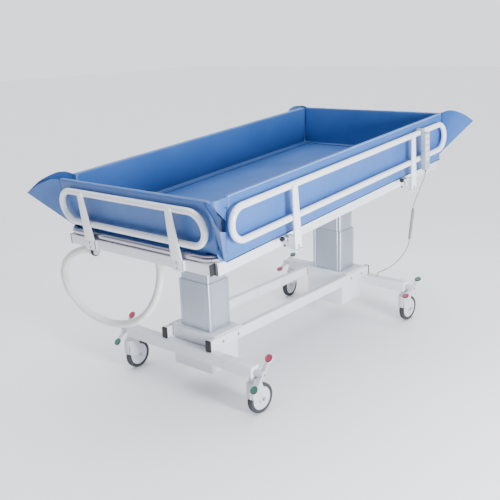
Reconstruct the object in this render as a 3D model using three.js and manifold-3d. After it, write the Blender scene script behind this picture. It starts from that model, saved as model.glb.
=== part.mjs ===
// Shower trolley: a wheeled base with two telescopic lifting columns carries a tilting platform with a
// soft waterproof liner, fold-down side rails, end rails, a drain hose and a wired handset.
// Millimetres, +Z up, +X from the foot end to the head end, near long side at -Y, floor at Z = 0.
import * as THREE from "three";
import { ConvexGeometry } from "three/addons/geometries/ConvexGeometry.js";
import { mergeVertices } from "three/addons/utils/BufferGeometryUtils.js";
import Module from "manifold-3d";

const wasm = await Module();
wasm.setup();

const SEAM = 0.3; // left between two pieces that rest on each other
const PLAY = 0.5; // left between faces that turn past each other
const WELD = 1; // how far a welded or moulded detail reaches into the piece that carries it
const QUARTER = Math.PI / 2;
const HALF_TURN = Math.PI;
const radians = THREE.MathUtils.degToRad;
const innerCornerShare = 0.25; // least inner corner of a hollow bar, as a share of its outer corner

// Solids: three.js geometry is turned into closed solids for joining and cutting, and back.
function solid(geometry) {
  const bare = geometry.index ? geometry.toNonIndexed() : geometry;
  const positions = new THREE.BufferGeometry();
  positions.setAttribute("position", bare.getAttribute("position"));
  const merged = mergeVertices(positions, 1e-3);
  return new wasm.Manifold(
    new wasm.Mesh({
      numProp: 3,
      vertProperties: merged.attributes.position.array,
      triVerts: new Uint32Array(merged.index.array),
    }),
  );
}

function geometryOf(body) {
  const mesh = body.getMesh();
  const geometry = new THREE.BufferGeometry();
  geometry.setAttribute("position", new THREE.BufferAttribute(new Float32Array(mesh.vertProperties), 3));
  geometry.setIndex(new THREE.BufferAttribute(new Uint32Array(mesh.triVerts), 1));
  const flat = geometry.toNonIndexed();
  flat.computeVertexNormals();
  return flat;
}

const joined = (first, ...rest) => rest.reduce((sum, next) => sum.add(next), first);
const cut = (first, ...rest) => rest.reduce((sum, next) => sum.subtract(next), first);
const moved = (body, x, y, z) => body.translate([x, y, z]);

// A box between two corners.
function box(x0, x1, y0, y1, z0, z1) {
  const geometry = new THREE.BoxGeometry(x1 - x0, y1 - y0, z1 - z0);
  geometry.translate((x0 + x1) / 2, (y0 + y1) / 2, (z0 + z1) / 2);
  return solid(geometry);
}

// A rectangle with round corners as an outline, centred on a point.
function roundRect(width, height, radius, centreX = 0, centreY = 0) {
  const x = width / 2 - radius;
  const y = height / 2 - radius;
  const shape = new THREE.Shape();
  shape.absarc(centreX + x, centreY + y, radius, 0, QUARTER);
  shape.absarc(centreX - x, centreY + y, radius, QUARTER, HALF_TURN);
  shape.absarc(centreX - x, centreY - y, radius, HALF_TURN, 3 * QUARTER);
  shape.absarc(centreX + x, centreY - y, radius, 3 * QUARTER, 4 * QUARTER);
  return shape;
}

const outline = (points) => new THREE.Shape(points.map(([x, y]) => new THREE.Vector2(x, y)));

// An outline drawn in one plane and drawn out along the third axis, from a start to an end.
const planes = {
  // outline x, y lie on X, Y and the depth runs up Z
  z: new THREE.Matrix4(),
  // outline x, y lie on X, Z and the depth runs along Y
  y: new THREE.Matrix4().makeBasis(
    new THREE.Vector3(1, 0, 0),
    new THREE.Vector3(0, 0, 1),
    new THREE.Vector3(0, 1, 0),
  ),
  // outline x, y lie on Y, Z and the depth runs along X
  x: new THREE.Matrix4().makeBasis(
    new THREE.Vector3(0, 1, 0),
    new THREE.Vector3(0, 0, 1),
    new THREE.Vector3(1, 0, 0),
  ),
};

function drawn(shape, along, start, end, segments = 3) {
  const geometry = new THREE.ExtrudeGeometry(shape, {
    depth: end - start,
    bevelEnabled: false,
    curveSegments: segments,
  });
  geometry.translate(0, 0, start);
  geometry.applyMatrix4(planes[along]);
  if (planes[along].determinant() < 0) flip(geometry);
  return solid(geometry);
}

// Turns every face of an unindexed geometry round.
function flip(geometry) {
  const array = geometry.getAttribute("position").array;
  for (let i = 0; i < array.length; i += 9) {
    for (let k = 0; k < 3; k += 1) {
      const kept = array[i + k];
      array[i + k] = array[i + 3 + k];
      array[i + 3 + k] = kept;
    }
  }
}

// A solid of revolution about a line along Y, from [radius, y] points that start and end on the axis
// or close on themselves.
function turned(points, segments, x, y, z) {
  const profile = points.map(([radius, along]) => new THREE.Vector2(radius, along));
  const geometry = new THREE.LatheGeometry(profile, segments);
  const body = solid(geometry);
  const outward = body.volume() < 0 ? solid(new THREE.LatheGeometry(profile.reverse(), segments)) : body;
  return moved(outward, x, y, z);
}

const rod = (radius, y0, y1, x, z, segments = 12) =>
  turned([[0, y0], [radius, y0], [radius, y1], [0, y1]], segments, x, 0, z);
const uprightRod = (radius, z0, z1, x, y, segments = 12) =>
  moved(rod(radius, z0, z1, 0, 0, segments).rotate([90, 0, 0]), x, y, 0);
const lengthwiseRod = (radius, x0, x1, y, z, segments = 8) =>
  moved(rod(radius, -x1, -x0, 0, 0, segments).rotate([0, 0, 90]), 0, y, z);

// A path given by its stations: one ring of the tube stands at each.
class StationPath extends THREE.Curve {
  constructor(stations, loop = false) {
    super();
    this.stations = stations;
    this.loop = loop;
  }
  get steps() {
    return this.loop ? this.stations.length : this.stations.length - 1;
  }
  at(index) {
    const count = this.stations.length;
    if (this.loop) return this.stations[((index % count) + count) % count];
    return this.stations[Math.min(Math.max(index, 0), count - 1)];
  }
  getPointAt(share, target = new THREE.Vector3()) {
    return target.copy(this.at(Math.round(share * this.steps)));
  }
  getPoint(share, target) {
    return this.getPointAt(share, target);
  }
  getTangentAt(share, target = new THREE.Vector3()) {
    const index = Math.round(share * this.steps);
    return target.subVectors(this.at(index + 1), this.at(index - 1)).normalize();
  }
}

function roundTube(stations, radius, sides) {
  const path = new StationPath(stations);
  return solid(
    new THREE.ExtrudeGeometry(polygon(radius, sides), { steps: path.steps, extrudePath: path }),
  );
}

function ringTube(stations, radius, sides) {
  const path = new StationPath(stations, true);
  const body = solid(new THREE.TubeGeometry(path, path.steps, radius, sides, true));
  return body;
}

function polygon(radius, sides) {
  const points = [];
  for (let i = 0; i < sides; i += 1) {
    const angle = (2 * HALF_TURN * i) / sides;
    points.push([radius * Math.cos(angle), radius * Math.sin(angle)]);
  }
  return outline(points);
}

// Stations of a flat loop with round corners: half sizes along a and b, and points made by place(a, b).
function loopStations(halfA, halfB, corner, cornerSteps, place) {
  const stations = [];
  const centres = [
    [halfA - corner, halfB - corner, 0],
    [corner - halfA, halfB - corner, QUARTER],
    [corner - halfA, corner - halfB, HALF_TURN],
    [halfA - corner, corner - halfB, 3 * QUARTER],
  ];
  for (const [a, b, start] of centres) {
    for (let i = 0; i <= cornerSteps; i += 1) {
      const angle = start + (QUARTER * i) / cornerSteps;
      stations.push(place(a + corner * Math.cos(angle), b + corner * Math.sin(angle)));
    }
  }
  return stations.filter((p, i) => p.distanceTo(stations[(i + 1) % stations.length]) > PLAY);
}

// Colours and surface of each material.
const finishes = {
  paint: { color: 0xe9edf2, roughness: 0.35, metalness: 0.0 },
  aluminium: { color: 0xb9c0ca, roughness: 0.38, metalness: 0.85 },
  railPaint: { color: 0xf2f5f8, roughness: 0.3, metalness: 0.0 },
  black: { color: 0x23262b, roughness: 0.55, metalness: 0.0 },
  liner: { color: 0x6f98cf, roughness: 0.42, metalness: 0.0 },
  tyre: { color: 0x4c4f55, roughness: 0.7, metalness: 0.0 },
  castor: { color: 0xe2e5e8, roughness: 0.4, metalness: 0.0 },
  steel: { color: 0xc4c9cf, roughness: 0.25, metalness: 0.9 },
  handset: { color: 0xa3aab3, roughness: 0.5, metalness: 0.0 },
  cord: { color: 0xaeb2b5, roughness: 0.55, metalness: 0.0 },
  hose: { color: 0xdcdeda, roughness: 0.5, metalness: 0.0 },
};

// The origin lies under the middle of the whole trolley, a little towards the foot end of the base.
const baseShift = 32.9;
const part = new THREE.Group();
const trolley = new THREE.Group();
const platform = new THREE.Group();
trolley.position.x = baseShift;
part.add(trolley);
trolley.add(platform);

function add(name, body, finish, group = trolley) {
  const mesh = new THREE.Mesh(geometryOf(body), new THREE.MeshStandardMaterial(finishes[finish]));
  mesh.name = name;
  group.add(mesh);
  return mesh;
}

// Base: two long rails lie on two cross legs and hold a column housing at each end.
const rail = { halfLength: 728, inner: 136, outer: 168, bottom: 251.5, height: 57.5, wall: 3, corner: 4 };
const railTop = rail.bottom + rail.height;
const railMid = (rail.inner + rail.outer) / 2;
const railCap = { face: 12, plug: 22, corner: 5 };
// Places along the base, each measured back from the rails' ends; the legs stand out a little past them.
const fromRailEnd = { legOuter: -24, legInner: 32, column: 142, housing: 238 };
const leg = {
  outerX: rail.halfLength - fromRailEnd.legOuter,
  innerX: rail.halfLength - fromRailEnd.legInner,
  halfWidth: 436,
  height: 57,
  wall: 4,
  corner: 6,
  drain: 5,
};
const legTop = rail.bottom - SEAM;
const legBottom = legTop - leg.height;
const column = {
  x: rail.halfLength - fromRailEnd.column, // from the middle of the base to each column's centre
  outer: [155, 204], // along X and Y
  step: 18, // how much each stage is smaller than the one round it
  innerWall: 5,
  corner: 9,
  cornerShare: 0.3, // how far the middle of a corner is drawn in
  grooveDepth: 1.6,
  grooveWidth: 5,
  grooveInset: 20,
  top: 564,
  length: 441, // of the middle and the inner stage
};
const stageWall = column.step / 2 - PLAY;
const housing = {
  innerX: rail.halfLength - fromRailEnd.housing,
  outerX: leg.innerX - SEAM,
  halfWidth: 128,
  bottom: 110,
  wall: 4,
  plate: 7,
  plateHalf: 160,
};
const bolt = { radius: 7, head: 4, fromEnd: [85, 200], z: rail.bottom + rail.height / 2 };

// Platform frame, in its own axes: u along the length, v across, w up from the frame's middle.
const tilt = radians(4.2); // head end up, as it stands in the photograph
const frameOrigin = { x: -1004, z: 805 };
const frame = {
  endTube: 17, // half depth of the end cross tubes
  halfWidth: 460,
  middle: 1010,
  top: 20,
  bottom: -30,
  wall: 3,
  corner: 4,
};
const headLine = 2 * frame.middle; // the head end mirrors the foot end about the middle
// Places across the platform, measured out from the ends of the two end cross tubes.
const fromFrameSide = {
  sideTubeInner: -12,
  sideTubeOuter: 18,
  latch: 62,
  guide: 74,
  hinge: 75,
  rim: 13,
  mat: -9,
  wall: 48,
  endWallFoot: -38,
  endWall: 28,
  sideRail: 80,
  endRail: 20,
};
const across = {};
for (const [name, beyond] of Object.entries(fromFrameSide)) across[name] = frame.halfWidth + beyond;
platform.position.set(frameOrigin.x, 0, frameOrigin.z);
platform.rotation.y = -tilt;

function hollowBar(along, a0, a1, b0, b1, start, end, wall, corner) {
  const outer = roundRect(a1 - a0, b1 - b0, corner, (a0 + a1) / 2, (b0 + b1) / 2);
  const inner = roundRect(
    a1 - a0 - 2 * wall,
    b1 - b0 - 2 * wall,
    Math.max(corner - wall, corner * innerCornerShare),
    (a0 + a1) / 2,
    (b0 + b1) / 2,
  );
  outer.holes.push(inner);
  return drawn(outer, along, start, end, 1);
}

// Rails of the base with their black end plugs and the bolts that hold the housings.
for (const [side, sign] of [["near", -1], ["far", 1]]) {
  const y0 = Math.min(sign * rail.inner, sign * rail.outer);
  const y1 = Math.max(sign * rail.inner, sign * rail.outer);
  let bar = hollowBar("x", y0, y1, rail.bottom, railTop, -rail.halfLength, rail.halfLength, rail.wall, rail.corner);
  for (const end of [-1, 1]) {
    for (const back of bolt.fromEnd) {
      const x = rail.halfLength - back;
      const from = sign * (rail.outer - WELD);
      const to = sign * (rail.outer + bolt.head);
      bar = bar.add(rod(bolt.radius, Math.min(from, to), Math.max(from, to), end * x, bolt.z, 6));
    }
  }
  add(`base_rail_${side}`, bar, "paint");
  for (const [endName, end] of [["front", -1], ["rear", 1]]) {
    const faceFrom = end * (rail.halfLength + SEAM);
    const faceTo = end * (rail.halfLength + SEAM + railCap.face);
    const plugFrom = end * (rail.halfLength - railCap.plug);
    const face = drawn(
      roundRect(y1 - y0, rail.height, railCap.corner, (y0 + y1) / 2, rail.bottom + rail.height / 2),
      "x",
      Math.min(faceFrom, faceTo),
      Math.max(faceFrom, faceTo),
      1,
    );
    const inset = rail.wall + SEAM;
    const plug = box(
      Math.min(plugFrom, faceFrom + end * WELD),
      Math.max(plugFrom, faceFrom + end * WELD),
      y0 + inset,
      y1 - inset,
      rail.bottom + inset,
      railTop - inset,
    );
    add(`rail_cap_${endName}_${side}`, face.add(plug), "black");
  }
}

// Cross legs: box beams with closed ends and a drain hole underneath.
for (const [endName, end] of [["front", -1], ["rear", 1]]) {
  const x0 = Math.min(end * leg.innerX, end * leg.outerX);
  const x1 = Math.max(end * leg.innerX, end * leg.outerX);
  const beam = hollowBar("y", x0, x1, legBottom, legTop, -leg.halfWidth, leg.halfWidth, leg.wall, leg.corner);
  const plateOutline = roundRect(x1 - x0, leg.height, leg.corner, (x0 + x1) / 2, (legBottom + legTop) / 2);
  const endPlates = [-1, 1].map((sign) =>
    drawn(
      plateOutline,
      "y",
      Math.min(sign * leg.halfWidth, sign * (leg.halfWidth - leg.wall)),
      Math.max(sign * leg.halfWidth, sign * (leg.halfWidth - leg.wall)),
      1,
    ),
  );
  const drain = uprightRod(leg.drain, legBottom - WELD, legBottom + leg.wall + WELD, (x0 + x1) / 2, 0, 12);
  add(`cross_leg_${endName}`, cut(joined(beam, ...endPlates), drain), "paint");
}

// One stage of a lifting column: a drawn aluminium tube with round corners and grooves in its faces.
function stageOutline(sizeX, sizeY, grooved) {
  const shape = [];
  const { corner, cornerShare, grooveDepth, grooveWidth, grooveInset } = column;
  const drawnIn = corner * cornerShare;
  const halfX = sizeX / 2;
  const halfY = sizeY / 2;
  const faces = [
    [halfX, halfY, 0],
    [halfY, halfX, 1],
    [halfX, halfY, 2],
    [halfY, halfX, 3],
  ];
  for (const [reach, half, turn] of faces) {
    const angle = turn * QUARTER;
    const put = (out, along) =>
      shape.push([
        out * Math.cos(angle) - along * Math.sin(angle),
        out * Math.sin(angle) + along * Math.cos(angle),
      ]);
    for (const side of [-1, 1]) {
      if (!grooved) {
        put(reach, side * (half - corner));
        continue;
      }
      const middle = side * (half - grooveInset);
      const lip = grooveWidth / 2;
      if (side < 0) put(reach, -half + corner);
      put(reach, middle - lip);
      put(reach - grooveDepth, middle - lip / 2);
      put(reach - grooveDepth, middle + lip / 2);
      put(reach, middle + lip);
      if (side > 0) put(reach, half - corner);
    }
    put(reach - drawnIn, half - drawnIn);
  }
  return outline(shape);
}

function stage(level, bottom, top, x, wall) {
  const sizeX = column.outer[0] - level * column.step;
  const sizeY = column.outer[1] - level * column.step;
  const shape = stageOutline(sizeX, sizeY, level < 2);
  shape.holes.push(roundRect(sizeX - 2 * wall, sizeY - 2 * wall, column.corner - wall / 2));
  return moved(drawn(shape, "z", bottom, top, 2), x, 0, 0);
}

// Tilt heads: a plate with two lugs and a cross pin stands on each inner stage.
const pivot = {
  height: 30,
  frontZ: 775,
  pin: 8,
  pinHalf: 70,
  lug: 14,
  lugFoot: 22,
  lugHalf: 45,
  lugThick: 10,
  plate: 10,
};
const pivotSpan = (2 * column.x) / Math.cos(tilt); // along the frame, pin to pin
const rearPivotZ = pivot.frontZ + pivotSpan * Math.sin(tilt);
const frontDX = -column.x - frameOrigin.x;
const frontDZ = pivot.frontZ - frameOrigin.z;
const pivotU = frontDX * Math.cos(tilt) + frontDZ * Math.sin(tilt);
const pivotW = -frontDX * Math.sin(tilt) + frontDZ * Math.cos(tilt);

for (const [endName, end] of [["front", -1], ["rear", 1]]) {
  const x = end * column.x;
  const pivotZ = end < 0 ? pivot.frontZ : rearPivotZ;
  const innerTop = pivotZ - pivot.height;
  const lifted = innerTop - column.top;
  const floorTop = housing.bottom + housing.wall;

  // Housing: a sheet box that hangs between the rails from a plate lying on them.
  const near = Math.min(end * housing.innerX, end * housing.outerX);
  const away = Math.max(end * housing.innerX, end * housing.outerX);
  const plateTop = railTop + SEAM + housing.plate;
  const shell = box(near, away, -housing.halfWidth, housing.halfWidth, housing.bottom, plateTop);
  const plate = box(near, away, -housing.plateHalf, housing.plateHalf, railTop + SEAM, plateTop);
  const room = box(
    near + housing.wall,
    away - housing.wall,
    housing.wall - housing.halfWidth,
    housing.halfWidth - housing.wall,
    floorTop,
    railTop,
  );
  const mouth = box(
    x - column.outer[0] / 2 - SEAM,
    x + column.outer[0] / 2 + SEAM,
    -column.outer[1] / 2 - SEAM,
    column.outer[1] / 2 + SEAM,
    railTop - WELD,
    plateTop + WELD,
  );
  add(`column_housing_${endName}`, cut(shell.add(plate), room, mouth), "paint");

  add(`column_outer_${endName}`, stage(0, floorTop + SEAM, column.top, x, stageWall), "aluminium");
  const middleTop = column.top + lifted / 2;
  add(`column_middle_${endName}`, stage(1, middleTop - column.length, middleTop, x, stageWall), "aluminium");

  // Inner stage with its head.
  const sizeX = column.outer[0] - 2 * column.step;
  const sizeY = column.outer[1] - 2 * column.step;
  let inner = stage(2, innerTop - column.length, innerTop, x, column.innerWall);
  inner = inner.add(
    box(x - sizeX / 2, x + sizeX / 2, -sizeY / 2, sizeY / 2, innerTop - WELD, innerTop + pivot.plate),
  );
  for (const sign of [-1, 1]) {
    const from = sign * (pivot.lugHalf - pivot.lugThick / 2);
    const to = sign * (pivot.lugHalf + pivot.lugThick / 2);
    const lug = new THREE.Shape();
    lug.moveTo(x - pivot.lugFoot, innerTop + pivot.plate - WELD);
    lug.lineTo(x + pivot.lugFoot, innerTop + pivot.plate - WELD);
    lug.lineTo(x + pivot.lug, pivotZ);
    lug.absarc(x, pivotZ, pivot.lug, 0, HALF_TURN);
    inner = inner.add(drawn(lug, "y", Math.min(from, to), Math.max(from, to), 3));
  }
  inner = inner.add(rod(pivot.pin, -pivot.pinHalf, pivot.pinHalf, x, pivotZ));
  add(`column_inner_${endName}`, inner, "aluminium");
}

// Places across, measured out from the legs' ends.
const fromLegEnd = { castor: -6, pedal: 40 };

// Castors: a hooded swivel fork, a wheel of hub and tyre, and a rocking brake pedal at each end of each leg.
const castor = {
  x: (leg.innerX + leg.outerX) / 2,
  y: leg.halfWidth + fromLegEnd.castor,
  trail: 34,
  wheel: 75,
  tyreInner: 58,
  tyreHalf: 16,
  tyreSeatHalf: 13,
  shoulder: 9, // how far the tread's round edge drops
  treadHalf: 10,
  hubHalf: 12,
  boss: 22,
  bossHalf: 16,
  axle: 6,
  nut: 3,
  cheekGap: 19,
  cheek: 5,
  cheekEnd: 20,
  hoodBack: 44,
  hoodWall: 4,
  hoodFoot: 98,
  hoodFront: 30,
  hoodCorner: 11,
  crownBottom: 154,
  crownTop: 173,
  crownStep: 7,
  swivel: 27,
  facets: 20,
};
// Degrees each castor stands turned on its swivel; the rear far one trails towards the foot.
const castorTurns = { front_near: -4, front_far: 2, rear_near: -4, rear_far: 186 };
const pedal = {
  y: leg.halfWidth + fromLegEnd.pedal,
  z: 220,
  reach: 82,
  frontAngle: 46,
  rearAngle: 23,
  hub: 16,
  hubFace: 4,
  arm: 12,
  armThick: 8,
  end: 20,
  pad: 17,
  padThick: 5,
};

// A hood over the wheel's trailing half, with a cheek down each side to the axle.
function castorFork() {
  const { trail, wheel, cheekGap, cheek, cheekEnd, axle, nut } = castor;
  const { hoodBack, hoodWall, hoodFoot, hoodFront, hoodCorner } = castor;
  const { crownBottom, crownTop, crownStep, swivel } = castor;
  const profile = new THREE.Shape();
  profile.moveTo(-hoodBack, crownTop - crownStep);
  profile.lineTo(-hoodBack, hoodFoot);
  profile.lineTo(trail - cheekEnd, wheel);
  profile.absarc(trail, wheel, cheekEnd, HALF_TURN, 2 * HALF_TURN);
  profile.lineTo(hoodFront, crownBottom);
  profile.lineTo(hoodFront - crownStep, crownTop);
  profile.lineTo(crownStep - hoodBack, crownTop);
  const outer = cheekGap + cheek;
  const block = drawn(profile, "y", -outer, outer, 3);
  const slot = box(hoodWall - hoodBack, trail + wheel, -cheekGap, cheekGap, -WELD, crownBottom);
  const corners = [-1, 1].map((side) =>
    drawn(
      outline([
        [-hoodBack - WELD, side * (outer - hoodCorner - WELD)],
        [WELD + hoodCorner - hoodBack, side * (outer + WELD)],
        [-hoodBack - WELD, side * (outer + WELD)],
      ]),
      "z",
      hoodFoot - WELD - hoodCorner,
      crownTop + WELD,
    ),
  );
  return joined(
    cut(block, slot, ...corners),
    uprightRod(swivel, crownTop - WELD, legBottom - SEAM, 0, 0, 14),
    rod(axle, -outer - nut, outer + nut, trail, wheel, 8),
  );
}

function castorTyre() {
  const { wheel, tyreInner, tyreHalf, tyreSeatHalf, shoulder, treadHalf, facets, trail } = castor;
  const profile = [
    [tyreInner, -tyreSeatHalf],
    [wheel - shoulder, -tyreHalf],
    [wheel, -treadHalf],
    [wheel, treadHalf],
    [wheel - shoulder, tyreHalf],
    [tyreInner, tyreSeatHalf],
    [tyreInner, -tyreSeatHalf],
  ];
  return turned(profile, facets, trail, 0, wheel);
}

function castorHub() {
  const { wheel, tyreInner, hubHalf, boss, bossHalf, axle, facets, trail } = castor;
  const seat = tyreInner - SEAM;
  const bore = axle + PLAY;
  const profile = [
    [bore, -bossHalf],
    [boss, -bossHalf],
    [seat, -hubHalf],
    [seat, hubHalf],
    [boss, bossHalf],
    [bore, bossHalf],
    [bore, -bossHalf],
  ];
  return turned(profile, facets, trail, 0, wheel);
}

// A flat rocker with a round pad on top of each end, drawn level for a leg end on the far side.
function brakePedal() {
  const { y, reach, hub, hubFace, arm, armThick, end, pad, padThick } = pedal;
  const rim = [];
  for (const dir of [1, -1]) {
    rim.push([dir * (reach - end), y - dir * arm]);
    for (const eighth of [-1, 0, 1]) {
      const angle = (eighth * QUARTER) / 1.5;
      rim.push([dir * (reach + end * Math.cos(angle)), y + dir * end * Math.sin(angle)]);
    }
    rim.push([dir * (reach - end), y + dir * arm]);
  }
  return joined(
    drawn(outline(rim), "z", -armThick / 2, armThick / 2),
    rod(hub, leg.halfWidth + PLAY, y + arm + hubFace, 0, 0, 12),
    uprightRod(pad, armThick / 2 - WELD, armThick / 2 + padThick, -reach, y, 10),
    uprightRod(pad, armThick / 2 - WELD, armThick / 2 + padThick, reach, y, 10),
  );
}

for (const [endName, end] of [["front", -1], ["rear", 1]]) {
  for (const [side, sign] of [["near", -1], ["far", 1]]) {
    const place = (mesh) => {
      mesh.position.set(end * castor.x, sign * castor.y, 0);
      mesh.rotation.z = radians(castorTurns[`${endName}_${side}`]);
    };
    place(add(`castor_fork_${endName}_${side}`, castorFork(), "castor"));
    place(add(`castor_hub_${endName}_${side}`, castorHub(), "castor"));
    place(add(`castor_tyre_${endName}_${side}`, castorTyre(), "tyre"));
    const mesh = add(
      `brake_pedal_${endName}_${side}`,
      sign > 0 ? brakePedal() : brakePedal().rotate([0, 0, 180]),
      "castor",
    );
    mesh.position.set(end * castor.x, 0, pedal.z);
    mesh.rotation.y = -radians(end < 0 ? pedal.frontAngle : pedal.rearAngle);
  }
}

// Frame tubes of the platform: two side tubes between two end cross tubes, and two tilt crossmembers.
const sideTube = { inner: across.sideTubeInner, outer: across.sideTubeOuter, drop: 10 };
const lug = { thick: 10, radius: 16, back: 6, ahead: 8, reach: 34 };
const crossmember = { half: 30 };
const post = { near: 545, width: 50, top: 36, thick: 8 }; // side rail posts: distance from the middle, widths
const hinge = { v: across.hinge, w: -38, bolt: 5, boltHalf: 21, lugHalf: 10, lugRound: 13, ear: 30 };
// The pair of cheeks that turn on a hinge bolt, the slot that clears the lug, and the tab the latch enters.
const railCheek = { thick: 6, bottom: -58, inset: 4, top: 12, slotTop: -24, tab: 9, tabHole: 6.5 };
const latch = {
  v: across.latch,
  w: 14,
  rod: 5,
  knob: 11,
  knobLength: 16,
  collar: 8,
  collarLength: 8,
  guide: 8,
  guideOuter: across.guide,
  guideBottom: 6,
  outerGuide: -58, // starts of the two guides, from the middle of the post
  innerGuide: -26,
  short: 5, // the nose stands this far short of the rail's cheek
};
const capFace = 5;
const capPlug = 20;

for (const [endName, u] of [["foot", 0], ["head", headLine]]) {
  const tube = hollowBar(
    "y",
    u - frame.endTube,
    u + frame.endTube,
    frame.bottom,
    frame.top,
    -frame.halfWidth,
    frame.halfWidth,
    frame.wall,
    frame.corner,
  );
  add(`cross_tube_${endName}`, tube, "paint", platform);
}
for (const [side, sign] of [["near", -1], ["far", 1]]) {
  const inset = frame.wall + SEAM;
  const from = sign * (frame.halfWidth + SEAM);
  const to = sign * (frame.halfWidth + SEAM + capFace);
  const face = drawn(
    roundRect(2 * frame.endTube, frame.top - frame.bottom, frame.corner, 0, (frame.top + frame.bottom) / 2),
    "y",
    Math.min(from, to),
    Math.max(from, to),
    1,
  );
  const inside = sign * (frame.halfWidth - capPlug);
  const plug = box(
    inset - frame.endTube,
    frame.endTube - inset,
    Math.min(inside, from + sign * WELD),
    Math.max(inside, from + sign * WELD),
    frame.bottom + inset,
    frame.top - inset,
  );
  add(`cross_tube_cap_${side}`, face.add(plug), "black", platform);
}
for (const [side, sign] of [["near", -1], ["far", 1]]) {
  const v0 = Math.min(sign * sideTube.inner, sign * sideTube.outer);
  const v1 = Math.max(sign * sideTube.inner, sign * sideTube.outer);
  const start = frame.endTube + SEAM;
  let tube = hollowBar(
    "x",
    v0,
    v1,
    frame.bottom - sideTube.drop,
    frame.top,
    start,
    headLine - start,
    frame.wall,
    frame.corner,
  );
  // Hinge lugs with their bolts, and guides for the latches, are welded to the tube's outer face.
  for (const dir of [-1, 1]) {
    const u = frame.middle + dir * post.near;
    const face = sideTube.outer - WELD;
    const lugShape = new THREE.Shape();
    lugShape.moveTo(face, hinge.w + hinge.ear);
    lugShape.lineTo(face, hinge.w + WELD);
    lugShape.lineTo(hinge.v, hinge.w - hinge.lugRound);
    lugShape.absarc(hinge.v, hinge.w, hinge.lugRound, -QUARTER, QUARTER);
    let bracket = drawn(lugShape, "x", u - hinge.lugHalf, u + hinge.lugHalf, 3);
    bracket = bracket.add(
      lengthwiseRod(hinge.bolt, u - hinge.boltHalf, u + hinge.boltHalf, hinge.v, hinge.w, 8),
    );
    for (const along of [latch.outerGuide, latch.innerGuide]) {
      const start = u + along;
      const end = start + latch.guide;
      const guide = cut(
        box(start, end, face, latch.guideOuter, latch.guideBottom, frame.top - SEAM),
        lengthwiseRod(latch.rod + PLAY, start - WELD, end + WELD, latch.v, latch.w),
      );
      bracket = bracket.add(guide);
    }
    tube = tube.add(sign > 0 ? bracket : bracket.mirror([0, 1, 0]));
  }
  add(`side_tube_${side}`, tube, "paint", platform);
}

// Tilt crossmembers: tubes between the side tubes with lugs for the pins. The rear lugs are slotted,
// since the distance between the pins along the frame grows as it tilts from level to its steepest.
const steepest = radians(8);
const slotBack = pivotSpan - 2 * column.x;
const slotAhead = (2 * column.x) / Math.cos(steepest) - pivotSpan;
for (const [endName, shift, slotted] of [["front", 0, false], ["rear", pivotSpan, true]]) {
  const u = pivotU + shift;
  const span = sideTube.inner - SEAM;
  let tube = hollowBar(
    "y",
    u - crossmember.half,
    u + crossmember.half,
    frame.bottom - sideTube.drop,
    frame.top,
    -span,
    span,
    frame.wall,
    frame.corner,
  );
  for (const sign of [-1, 1]) {
    const from = sign * (pivot.lugHalf + pivot.lugThick / 2 + PLAY);
    const to = from + sign * lug.thick;
    const shape = new THREE.Shape();
    shape.moveTo(u - lug.reach, frame.bottom - sideTube.drop + WELD);
    shape.lineTo(u - lug.back - lug.radius, pivotW);
    shape.absarc(u - lug.back, pivotW, lug.radius, HALF_TURN, 3 * QUARTER);
    shape.absarc(u + lug.ahead, pivotW, lug.radius, 3 * QUARTER, 4 * QUARTER);
    shape.lineTo(u + lug.reach, frame.bottom - sideTube.drop + WELD);
    const opening = new THREE.Path();
    if (slotted) {
      const half = pivot.pin + 2 * PLAY;
      opening.absarc(u + slotAhead, pivotW, half, -QUARTER, QUARTER);
      opening.absarc(u - slotBack, pivotW, half, QUARTER, 3 * QUARTER);
    } else {
      opening.absarc(u, pivotW, pivot.pin + PLAY, 0, 2 * HALF_TURN);
    }
    shape.holes.push(opening);
    tube = tube.add(drawn(shape, "y", Math.min(from, to), Math.max(from, to), slotted ? 3 : 5));
  }
  add(`tilt_crossmember_${endName}`, tube, "paint", platform);
}

// Deck: a thin sheet with a round tube rim that carries the liner, and the drain outlet under it.
const rim = { radius: 17, halfWidth: across.rim, corner: 57, sides: 8 };
const rimW = frame.top + SEAM + rim.radius;
const sheet = { bottom: frame.top + SEAM, thick: 4 };
const drain = { u: 74, v: -54, hole: 14, flange: 30, flangeBottom: -10, pipe: 16, bore: 11, bottom: -30 };
{
  const stations = loopStations(frame.middle, rim.halfWidth, rim.corner, 3, (u, v) =>
    new THREE.Vector3(u + frame.middle, v, rimW),
  );
  const plate = drawn(
    roundRect(headLine, 2 * rim.halfWidth, rim.corner, frame.middle, 0),
    "z",
    sheet.bottom,
    sheet.bottom + sheet.thick,
    2,
  );
  const outlet = joined(
    uprightRod(drain.flange, drain.flangeBottom, sheet.bottom + WELD, drain.u, drain.v, 16),
    uprightRod(drain.pipe, drain.bottom, drain.flangeBottom + WELD, drain.u, drain.v, 16),
  );
  const bore = uprightRod(drain.bore, drain.bottom - WELD, sheet.bottom + sheet.thick + WELD, drain.u, drain.v, 16);
  add("deck", cut(joined(ringTube(stations, rim.radius, rim.sides), plate, outlet), bore), "paint", platform);
}

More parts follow.
